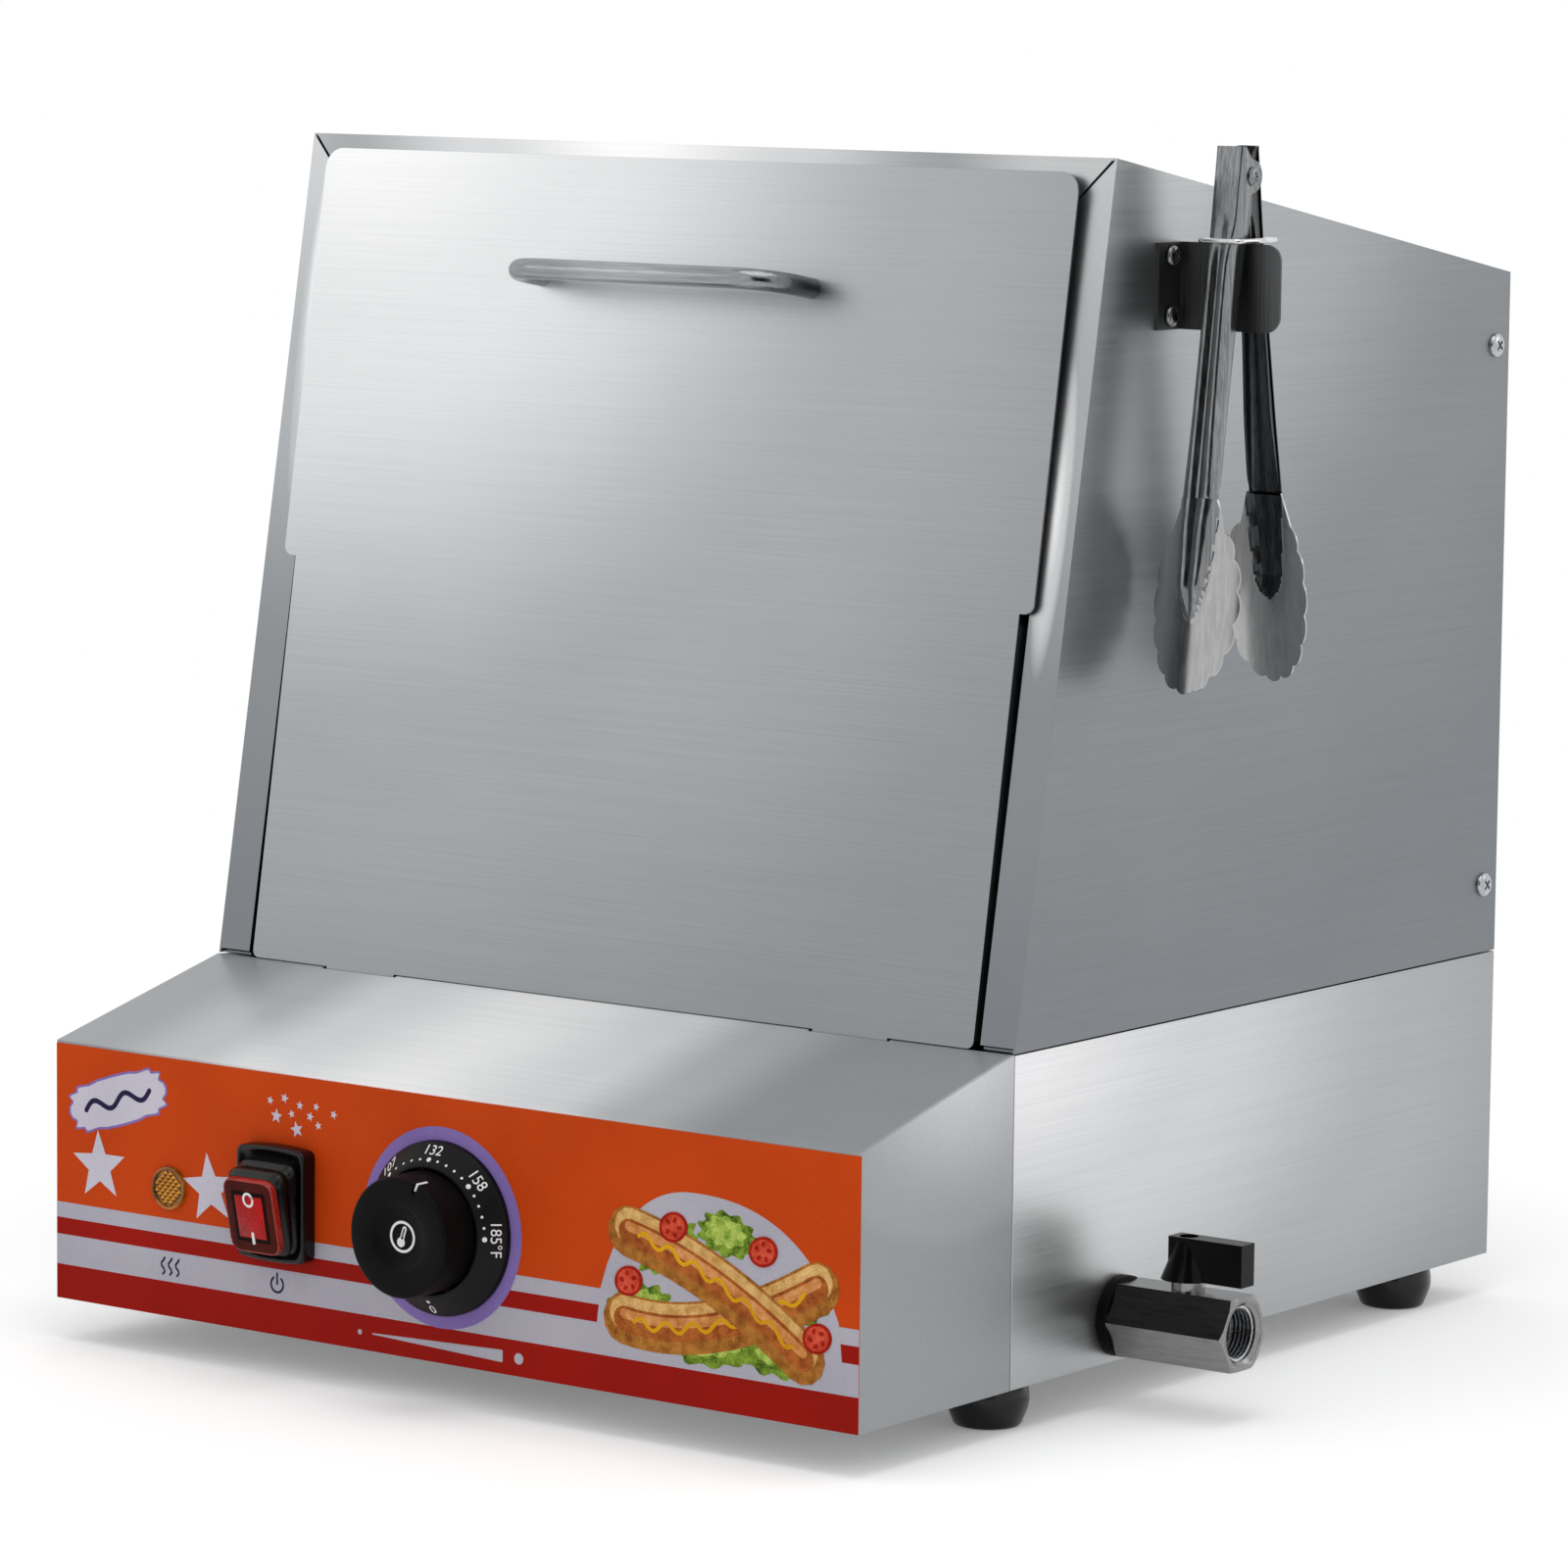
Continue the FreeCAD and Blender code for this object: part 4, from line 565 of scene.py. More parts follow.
def softened(node, finish, width, segments=2, limit=40):
    """A node's shape with its edges eased by a small round, in millimetres."""
    piece = copy_of(node, node + "_dressed")
    bevel(piece, width, segments, limit)
    smooth(piece)
    apply_modifier(piece, "WEIGHTED_NORMAL", keep_sharp=True)
    paint(piece, finish)
    return dressed(piece, node_body(node), node)


def kept(node, finish):
    """The node itself stays, with the better material."""
    node = frame["nodes"][node]
    node.data.materials.clear()
    node.data.materials.append(FINISHES[finish])


# Shapes that several pieces share


def panel(x, z, out=0.0):
    """A point at a height out of the control panel."""
    return spot(x, -out, z)


def printed(name, outline, ink, layer=1):
    """A printed shape on the panel's film, from its (x, z) outline. Later inks lie on earlier ones."""
    piece = slab(name, [panel(x, z, FILM - INK) for x, z in outline], FRONT * INK * (layer + 1) * MM)
    return dressed(paint(piece, ink), "cabinet", slot="printed_film")


def polar(radius, degrees, centre=(0, 0)):
    angle = math.radians(degrees)
    return Vector((centre[0] + radius * math.cos(angle), centre[1] + radius * math.sin(angle)))


def disc(centre, radius, steps=64, squeeze=1.0, tilt=0.0):
    """Outline of a disc, or of an oval turned by the tilt."""
    points = []
    for i in range(steps):
        point = polar(radius, 360 * i / steps)
        point.y *= squeeze
        point.rotate(Matrix.Rotation(math.radians(tilt), 2))
        points.append(point + Vector(centre))
    return points


def star(centre, radius, tilt=0.0, waist=0.42):
    return [polar(radius * (waist if i % 2 else 1.0), 90 + tilt + 36 * i, centre) for i in range(10)]


def band(path, width):
    """Outline of a stripe of even width along a path, with round ends."""
    left, right = [], []
    for i, here in enumerate(path):
        ahead = (path[min(i + 1, len(path) - 1)] - path[max(i - 1, 0)]).normalized()
        side = Vector((-ahead.y, ahead.x)) * width / 2
        left.append(here + side)
        right.append(here - side)
    ends = []
    for here, ahead in ((path[-1], path[-1] - path[-2]), (path[0], path[0] - path[1])):
        start = math.degrees(math.atan2(ahead.y, ahead.x))
        ends.append([polar(width / 2, start + turn, here) for turn in (60, 30, 0, -30, -60)])
    return left + ends[0] + right[::-1] + ends[1]


def lettering(name, text, size, place, right, up, finish, body, depth=0.05):
    """Raised lettering with its middle at a place."""
    clear_selection()
    bpy.ops.object.text_add()
    piece = bpy.context.object
    piece.name = name
    piece.data.body = text
    piece.data.align_x, piece.data.align_y = "CENTER", "CENTER"
    piece.data.size = size * MM
    piece.data.extrude = depth * MM
    bpy.ops.object.convert(target="MESH")
    out = right.cross(up)
    piece.data.transform(Matrix.Translation(place) @ Matrix((right, up, out)).transposed().to_4x4())
    edit(piece)
    close_up(piece, 0.0005)
    return dressed(paint(piece, finish), body)


def wire(name, points, radius, closed=False):
    """A round wire along smooth points."""
    clear_selection()
    curve = bpy.data.curves.new(name, "CURVE")
    curve.dimensions = "3D"
    curve.bevel_depth = radius * MM
    curve.bevel_resolution = 5
    curve.use_fill_caps = not closed
    spline = curve.splines.new("POLY")
    spline.points.add(len(points) - 1)
    for point, place in zip(spline.points, points):
        point.co = (*place, 1.0)
    spline.use_cyclic_u = closed
    piece = bpy.data.objects.new(name, curve)
    bpy.context.scene.collection.objects.link(piece)
    pick(piece)
    bpy.ops.object.convert(target="MESH")
    edit(piece)
    return smooth(close_up(piece), 50)


def pan_head(name, place, axis, radius, height, shank, length):
    """A cross-recessed pan head screw; the place is under its head."""
    profile = [(0, -length), (shank, -length), (shank, 0), (radius, 0), (radius, height * 0.3),
               (radius * 0.93, height * 0.62), (radius * 0.74, height * 0.88), (radius * 0.45, height),
               (0, height)]
    piece = turned(name, profile, place, axis, 40)
    side = axis.orthogonal().normalized()
    other = axis.cross(side)
    slots = []
    for along, across in ((side, other), (other, side)):
        corners = [(-radius * 0.5, -radius * 0.1), (radius * 0.5, -radius * 0.1),
                   (radius * 0.5, radius * 0.1), (-radius * 0.5, radius * 0.1)]
        base = place + axis * height * 0.35 * MM
        slots.append(slab(name + "_slot", [base + (along * a + across * c) * MM for a, c in corners],
                          axis * height * MM))
    for cutter in slots:
        carve(piece, cutter)
    return smooth(bevel(piece, radius * 0.03, 1), 40)


# The stage


class StageSettings(bpy.types.PropertyGroup):
    lens: bpy.props.FloatProperty(
        name="Lens", description="Focal length on a 36 mm sensor", default=152.303, unit="CAMERA")
    key_power: bpy.props.FloatProperty(
        name="Key light", description="Power of the soft light at the left front", default=0.45, min=0.0)
    side_power: bpy.props.FloatProperty(
        name="Side light", description="Power of the soft light behind the right side", default=0.8, min=0.0)
    top_power: bpy.props.FloatProperty(
        name="Top light", description="Power of the large light overhead", default=9.0, min=0.0)
    fill: bpy.props.FloatProperty(
        name="Room light", description="Strength of the even light from all round", default=0.8, min=0.0)


class SteamerOperator:
    bl_options = {"REGISTER", "UNDO"}


class STEAMER_OT_stage(SteamerOperator, bpy.types.Operator):
    """Adds the floor, the soft lights and the camera"""
    bl_idname = "steamer.stage"
    bl_label = "Stage"

    def execute(self, context):
        for name in ("Cube", "Light", "Camera"):
            if name in bpy.data.objects:
                bpy.data.objects.remove(bpy.data.objects[name])
        settings = context.scene.steamer_stage
        make_world(settings)
        make_floor()
        make_lights(settings)
        make_card()
        make_camera(settings)
        return {"FINISHED"}


def seen_directly(tree):
    """1 for what the camera, a reflection or glass shows, and 0 for the light on matt surfaces."""
    ray = add(tree, "ShaderNodeLightPath")
    first = add(tree, "ShaderNodeMath", {"operation": "ADD"},
                {0: ray.outputs["Is Camera Ray"], 1: ray.outputs["Is Glossy Ray"]})
    return add(tree, "ShaderNodeMath", {"operation": "ADD", "use_clamp": True},
               {0: first, 1: ray.outputs["Is Transmission Ray"]})


def make_world(settings):
    """A white studio with a darker ceiling; matt surfaces get its light at the room's strength."""
    world = bpy.data.worlds.new("studio")
    bpy.context.scene.world = world
    world.use_nodes = True
    tree = world.node_tree
    tree.nodes.clear()
    place = add(tree, "ShaderNodeTexCoord")
    split = add(tree, "ShaderNodeSeparateXYZ", links={0: place.outputs["Generated"]})
    walls = add(tree, "ShaderNodeValToRGB", links={0: split.outputs[2]},
                stops=[(0.0, "#ffffff"), (0.86, "#ffffff"), (0.95, "#6c6d6e"), (1.0, "#3c3d3e")])
    even = [settings.fill] * 3 + [1.0]
    light = add(tree, "ShaderNodeMix", {"data_type": "RGBA", 6: even}, {0: seen_directly(tree), 7: walls})
    shade = add(tree, "ShaderNodeBackground", {"Strength": 1.0}, {"Color": light.outputs[2]})
    add(tree, "ShaderNodeOutputWorld", links={"Surface": shade})


# The floor in metres: its size, and where its paper begins and ends to run out into white
FLOOR_RADIUS, FLOOR_NEAR, FLOOR_FAR = 60.0, 0.45, 1.3


def make_floor():
    """White paper that keeps the soft shadow near the steamer and runs out into the white of the studio."""
    clear_selection()
    low = CAD_BOX[0].z
    bpy.ops.mesh.primitive_circle_add(
        vertices=128, radius=FLOOR_RADIUS, fill_type="NGON", location=(0, 0, low))
    floor = bpy.context.object
    floor.name = "floor"
    bpy.ops.object.transform_apply(location=True, rotation=False, scale=False)
    material, tree = new_material("paper_white_matt")
    cloud = add(tree, "ShaderNodeTexNoise", {"Scale": 1.0, "Detail": 2.0},
                {"Vector": object_place(tree, (3, 3, 3))})
    tone = add(tree, "ShaderNodeMapRange", {1: NOISE_WIDE[0], 2: NOISE_WIDE[1], 3: 0.93, 4: 0.95}, {0: cloud})
    paper = add(tree, "ShaderNodeBsdfDiffuse", {}, {"Color": tone})
    seen = seen_directly(tree)
    lift = add(tree, "ShaderNodeEmission", {"Color": (1, 1, 1, 1)},
               {"Strength": add(tree, "ShaderNodeMath", {"operation": "MULTIPLY", 1: 0.16}, {0: seen})})
    near = add(tree, "ShaderNodeAddShader", links={0: paper, 1: lift})
    far = add(tree, "ShaderNodeEmission", {"Color": (1, 1, 1, 1), "Strength": 1.0})
    reach = add(tree, "ShaderNodeVectorMath", {"operation": "LENGTH"}, {0: object_place(tree)})
    away = add(tree, "ShaderNodeMapRange",
               {1: FLOOR_NEAR, 2: FLOOR_FAR, 3: 0.0, 4: 1.0, "interpolation_type": "SMOOTHSTEP"},
               {0: reach.outputs[1]})
    share = add(tree, "ShaderNodeMath", {"operation": "MULTIPLY"}, {0: away, 1: seen})
    shader = add(tree, "ShaderNodeMixShader", links={0: share, 1: near, 2: far})
    add(tree, "ShaderNodeOutputMaterial", links={"Surface": shader})
    floor.data.materials.append(material)


def make_lights(settings):
    """Round soft lights as (name, place, target, size, power), in metres and watts."""
    lamps = (("key", (-0.95, -1.0, 0.78), (0.0, 0.0, 0.32), 0.55, settings.key_power),
             ("side", (0.95, 0.75, 0.72), (0.2, 0.1, 0.4), 0.5, settings.side_power),
             ("top", (0.2, -0.3, 1.9), (0.0, 0.0, 0.2), 1.4, settings.top_power))
    for name, place, target, size, power in lamps:
        data = bpy.data.lights.new(name, "AREA")
        data.shape = "DISK"
        data.size = size
        data.energy = power
        lamp = bpy.data.objects.new(name, data)
        bpy.context.scene.collection.objects.link(lamp)
        lamp.location = place
        lamp.rotation_euler = (Vector(target) - Vector(place)).to_track_quat("-Z", "Y").to_euler()
        lamp.visible_camera = False


# The black card in metres and degrees: its place, width, height and turn towards the steamer
CARD_PLACE, CARD_WIDTH, CARD_HEIGHT, CARD_TURN = (1.05, -1.42, 0.72), 1.15, 1.35, 36.5


def make_card():
    """A black card on the camera's side, which the camera doesn't see and polished edges reflect."""
    clear_selection()
    bpy.ops.mesh.primitive_plane_add(size=1.0, location=CARD_PLACE)
    card = bpy.context.object
    card.name = "black_card"
    upright = Matrix.Rotation(math.radians(90), 4, "X") @ Matrix.Diagonal((CARD_WIDTH, CARD_HEIGHT, 1, 1))
    card.data.transform(Matrix.Rotation(math.radians(CARD_TURN), 4, "Z") @ upright)
    card.visible_camera = False
    card.visible_shadow = False
    card.visible_diffuse = False
    material, tree = new_material("card_black_matt")
    fibre = add(tree, "ShaderNodeTexNoise", {"Scale": 40.0}, {"Vector": object_place(tree)})
    tone = add(tree, "ShaderNodeMapRange", {3: 0.008, 4: 0.016}, {0: fibre.outputs[0]})
    shader = add(tree, "ShaderNodeBsdfDiffuse", {}, {"Color": tone})
    add(tree, "ShaderNodeOutputMaterial", links={"Surface": shader})
    card.data.materials.append(material)


# The photograph's camera as fitted: yaw, pitch and roll in degrees, and its place in the drawing frame
CAMERA_TURN, CAMERA_PLACE = (36.53616, 7.068, 0.62525), (1523.167, -1847.325, 511.985)


def make_camera(settings):
    data = bpy.data.cameras.new("photo_camera")
    data.lens = settings.lens
    data.sensor_width = 36.0
    data.clip_start = 0.05
    data.clip_end = 200.0
    camera = bpy.data.objects.new("photo_camera", data)
    bpy.context.scene.collection.objects.link(camera)
    yaw, pitch, roll = (math.radians(a) for a in CAMERA_TURN)
    ahead = Vector((-math.sin(yaw) * math.cos(pitch), math.cos(yaw) * math.cos(pitch), -math.sin(pitch)))
    right = Vector((math.cos(yaw), math.sin(yaw), 0))
    up = right.cross(ahead)
    right, up = math.cos(roll) * right + math.sin(roll) * up, math.cos(roll) * up - math.sin(roll) * right
    turn = Matrix((right, up, -ahead)).transposed().to_4x4()
    camera.matrix_world = Matrix.Translation(spot(*CAMERA_PLACE)) @ turn
    bpy.context.scene.camera = camera


# Sheet metal


class SheetSettings(bpy.types.PropertyGroup):
    edge: bpy.props.FloatProperty(
        name="Edge round", description="Round on the sheets' edges and bends", default=0.00035,
        unit="LENGTH", subtype="DISTANCE", precision=5)


class STEAMER_OT_sheets(SteamerOperator, bpy.types.Operator):
    """Dresses the sheet metal of tank, cabinet, control box and door"""
    bl_idname = "steamer.sheets"
    bl_label = "Sheet metal"

    def execute(self, context):
        edge = context.scene.steamer_sheet.edge / MM
        # Door, walls, roof, tank and box take finishes under painted reflections and painted highlights, the
        # bracket one with a painted dark reflection
        for finish, nodes in (
                ("sheet", ("tank_floor", "tank_front_wall", "tank_rear_wall", "control_box_bottom_cover",
                           "rear_panel")),
                ("roof", ("top_panel",)),
                ("box", ("control_box_shell",)),
                ("tank", ("tank_left_wall", "tank_right_wall")),
                ("wall", ("right_side_panel",)), ("wall_left", ("left_side_panel",)),
                ("door", ("door_skin",)),
                ("mill", ("door_liner", "hot_dog_tray", "bun_tray", "tray_divider", "left_tray_rails",
                          "right_tray_rails", "element_supports")),
                ("bracket", ("tong_bracket",)),
                ("film", ("control_panel_overlay",))):
            for node in nodes:
                softened(node, finish, edge if finish != "film" else 0.1)
        return {"FINISHED"}


# The print on the control panel


class PrintSettings(bpy.types.PropertyGroup):
    stripe_low: bpy.props.FloatProperty(
        name="Lower stripe", description="Height of the lower red stripe", default=0.0133, unit="LENGTH")
    stripe_mid: bpy.props.FloatProperty(
        name="Pale stripe", description="Top of the wide pale stripe", default=0.025, unit="LENGTH")
    stripe_high: bpy.props.FloatProperty(
        name="Upper stripe", description="Top of the upper red stripe", default=0.0315, unit="LENGTH")
    stripe_top: bpy.props.FloatProperty(
        name="Narrow stripe", description="Top of the narrow pale stripe", default=0.0375, unit="LENGTH")


def stripes(settings):
    low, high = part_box("control_panel_overlay")
    left, right = (low.x - ORIGIN.x) / MM, (high.x - ORIGIN.x) / MM
    base = (low.z - ORIGIN.z) / MM
    levels = [base, settings.stripe_low / MM, settings.stripe_mid / MM, settings.stripe_high / MM,
              settings.stripe_top / MM]
    for i, ink in enumerate(("red", "lilac", "red", "lilac")):
        outline = [(left, levels[i]), (right, levels[i]), (right, levels[i + 1]), (left, levels[i + 1])]
        printed("stripe_%d_%s" % (i, ink), outline, ink)


def stars():
    for i, (x, z, radius, tilt) in enumerate(((-168, 53.6, 13.8, 3), (-112.0, 51.4, 13.8, 7))):
        printed("star_%d" % i, star((x, z), radius, tilt), "star", 2)
    small = star((0, 0), 1.0)
    places = ((-82, 88.6, 1.7), (-75, 90.2, 2.0), (-67.5, 88.2, 1.8), (-59.5, 88.6, 1.6), (-51, 86.6, 1.8),
              (-79, 83.0, 2.9), (-71.5, 84.6, 1.7), (-69, 79.0, 3.2), (-58.5, 81.6, 1.7), (-62.5, 84.6, 1.9))
    random.seed(4)
    for i, (x, z, radius) in enumerate(places):
        turn = Matrix.Rotation(random.uniform(-0.4, 0.4), 2)
        outline = [turn @ (p * radius) + Vector((x, z)) for p in small]
        printed("small_star_%d" % i, outline, "star", 2)


def badge():
    """A bare tilted plaque in two inks at the top left."""
    middle, turn = Vector((-158.5, 80.0)), Matrix.Rotation(math.radians(17), 2)
    for name, grow, ink, layer in (("badge_edge", 0.9, "purple", 2), ("badge", 0.0, "star", 3)):
        outline = []
        for i in range(72):
            point = polar(1.0, 5 * i)
            lobe = 1 + 0.05 * math.cos(math.radians(5 * i * 12))
            side = Vector((math.copysign(abs(point.x) ** 0.45, point.x) * (24.0 + grow),
                           math.copysign(abs(point.y) ** 0.6, point.y) * (8.6 + grow)))
            outline.append(turn @ (side * lobe) + middle)
        printed(name, outline, ink, layer)
    wave = [turn @ Vector((x, 2.2 * math.sin(x / 2.6))) + middle for x in range(-17, 18)]
    printed("badge_wave", band(wave, 2.0), "plum", 4)


def marks():
    """Signs under the controls, in place of words: steam, power and a wedge that widens with the heat."""
    for i in (-1, 0, 1):
        path = [Vector((-132 + 3.6 * i + 0.9 * math.sin(t * 1.3), 16.0 + 1.05 * t)) for t in range(7)]
        printed("steam_mark_%d" % (i + 1), band(path, 0.9), "plum", 2)
    ring = [polar(3.0, a, (-78.5, 19.2)) for a in range(125, 416, 15)]
    printed("power_mark_ring", band(ring, 0.9), "plum", 2)
    printed("power_mark_bar", band([Vector((-78.5, 19.4)), Vector((-78.5, 23.4))], 0.9), "plum", 2)
    wedge = eased([(-32, 6.4, 0.3), (30, 4.3, 0.6), (30, 8.9, 0.6), (-32, 6.9, 0.2)])
    printed("heat_mark_wedge", wedge, "lilac", 2)
    for i, radius in ((0, 1.0), (1, 2.1)):
        printed("heat_mark_dot_%d" % i, disc((-38 if i == 0 else 37.5, 6.6), radius, 24), "lilac", 2)


def picture():
    """A picture of sausages, rolls, tomato and leaves at the panel's right end."""
    left, right, base, top = 72.2, 184.0, 13.3, 77.4
    hill = []
    for i in range(41):
        x = left + (right - left) * i / 40
        t = (x - 118.0) / (46.0 if x < 118 else 68.0)
        hill.append(Vector((x, base + (top - base) * max(0.0, 1 - abs(t) ** 2.3) ** 0.5)))
    printed("picture_plate", [Vector((left, base))] + hill[1:-1] + [Vector((right, base))], "lilac", 2)

    def frill(name, centre, radius, squeeze, tilt, ink, layer, lobes=11):
        outline = []
        for i in range(lobes * 6):
            turn = 360 * i / (lobes * 6)
            fine, coarse = math.radians(turn * lobes), math.radians(turn * 3 + centre[0])
            point = polar(radius * (1 + 0.1 * math.sin(fine) + 0.03 * math.sin(coarse)), turn)
            point.y *= squeeze
            point.rotate(Matrix.Rotation(math.radians(tilt), 2))
            outline.append(point + Vector(centre))
        printed(name, outline, ink, layer)

    def sweep(name, line, width, ink, layer, shift=0.0):
        path = [bowed(*line, i / 14) + Vector((0, shift)) for i in range(15)]
        printed(name, band(path, width), ink, layer)

    leaves = ((92, 32, 15, 0.6, 20), (150, 26, 18, 0.55, -12), (166, 44, 14, 0.6, 30),
              (104, 57, 15, 0.55, 30), (132, 64, 13, 0.6, -8), (126, 24, 20, 0.42, 4))
    for i, (x, z, radius, squeeze, tilt) in enumerate(leaves):
        layer = 2.4 + 0.4 * i
        frill("leaf_%d" % i, (x, z), radius, squeeze, tilt, "leaf", layer)
        frill("leaf_%d_light" % i, (x - 1, z + 1), radius * 0.68, squeeze, tilt, "leaf_light", layer + 0.2, 9)
    # Two rolls with a sausage each lie crosswise, and tomato slices fill the corners
    rolls = (((86, 28), (124, 22), (172, 50)), ((88, 60), (126, 52), (166, 24)))
    for i, places in enumerate(rolls):
        line = [Vector(place) for place in places]
        layer = 5 + 5 * i
        sweep("roll_%d" % i, line, 19, "bun", layer)
        sweep("roll_%d_light" % i, line, 13, "bun_light", layer + 1, 2.2)
        sweep("sausage_%d" % i, line, 9.5, "sausage", layer + 2)
        sweep("sausage_%d_light" % i, line, 3.6, "sausage_light", layer + 3, 1.9)
        wave = [bowed(*line, 0.06 + 0.88 * k / 40) + Vector((0, 1.9 * math.sin(k * 0.95))) for k in range(41)]
        printed("mustard_%d" % i, band(wave, 1.5), "mustard", layer + 4)
    for i, (x, z) in enumerate(((108, 64), (148, 60), (88, 42), (172, 32))):
        printed("tomato_%d" % i, disc((x, z), 6.4, 40, 0.85, 20), "tomato", 15)
        printed("tomato_%d_light" % i, disc((x, z), 5.2, 40, 0.85, 20), "tomato_light", 16)
        for k in range(5):
            seed = polar(2.9, 72 * k + 15 * i, (x, z))
            printed("tomato_%d_seed_%d" % (i, k), disc(seed, 1.15, 12, 0.7, 72 * k), "tomato", 17)


class STEAMER_OT_print(SteamerOperator, bpy.types.Operator):
    """Prints stripes, stars, signs and picture on the control panel's film"""
    bl_idname = "steamer.print"
    bl_label = "Panel print"

    def execute(self, context):
        stripes(context.scene.steamer_print)
        stars()
        badge()
        marks()
        picture()
        printed("dial_disc", disc(DIAL, 37.5, 96), "purple", 2)
        return {"FINISHED"}


# Dial and knob

# Middle of the dial on the panel as (x, z), and the knob's pointer from the panel's right towards up
DIAL, POINTER = (1.0, 50.5), math.radians(67)
# The dish in the knob's face as (radius, share of its depth), from its edge inwards
DISH = ((13.2, 0.0), (12.3, 0.12), (11.2, 0.36), (9.6, 0.7), (8.0, 0.92))


class DialSettings(bpy.types.PropertyGroup):
    number_size: bpy.props.FloatProperty(
        name="Numbers", description="Height of the dial's numbers", default=0.0058, unit="LENGTH",
        precision=5)
    dot: bpy.props.FloatProperty(
        name="Dots", description="Radius of the small dots", default=0.00052, unit="LENGTH", precision=5)
    knob_dish: bpy.props.FloatProperty(
        name="Dish", description="Depth of the dish in the knob's face", default=0.0032, unit="LENGTH",
        precision=5)


# The bezel's cone falls from its inner rim to its outer edge, as (radius, height)
CONE_IN, CONE_OUT = (24.9, 9.3), (31.9, 3.3)


def on_cone(radius, degrees, lift=0.0):
    """(place, right, up, out) on the bezel's cone, with up pointing away from the middle."""
    fall = (CONE_OUT[1] - CONE_IN[1]) / (CONE_OUT[0] - CONE_IN[0])
    height = CONE_IN[1] + (radius - CONE_IN[0]) * fall
    angle = math.radians(degrees)
    outward = Vector((math.cos(angle), 0, math.sin(angle)))
    up = (outward + FRONT * fall).normalized()
    right = Vector((math.sin(angle), 0, -math.cos(angle)))
    out = right.cross(up)
    return panel(*DIAL) + (outward * radius + FRONT * height + out * lift) * MM, right, up, out


class STEAMER_OT_dial(SteamerOperator, bpy.types.Operator):
    """Models the dial's black cone with its white numbers and dots"""
    bl_idname = "steamer.dial"
    bl_label = "Dial"

    def execute(self, context):
        settings = context.scene.steamer_dial
        profile = [(23.3, FILM), (32.5, FILM), (32.5, 2.3), (32.3, 2.9), CONE_OUT, CONE_IN, (24.5, 9.5),
                   (23.7, 9.5), (23.3, 9.2), (23.3, FILM)]
        bezel = turned("dial_cone", profile, panel(*DIAL), FRONT, 96)
        dressed(paint(bezel, "dial"), "cabinet", "dial_bezel")
        for text, degrees in (("107", 135), ("132", 90), ("158", 45), ("185°F", 0), ("0", -90)):
            place, right, up, out = on_cone(29.4, degrees, 0.03)
            lettering("dial_number_%s" % text[:3], text, settings.number_size / MM, place, right, up, "mark",
                      "cabinet")
        small = settings.dot / MM
        dots = [(9 * i, 0.95 if i % 5 == 0 else small) for i in range(16)] + [(-90, 0.8)]
        for i, (degrees, radius) in enumerate(dots):
            place, right, up, out = on_cone(26.4, degrees, -0.05)
            profile = [(0, 0), (radius, 0), (radius, 0.1), (radius * 0.8, 0.13), (0, 0.13)]
            dot = turned("dial_dot_%d" % i, profile, place, out, 16)
            dressed(paint(dot, "mark"), "cabinet", slot="dial_plastic")
        return {"FINISHED"}


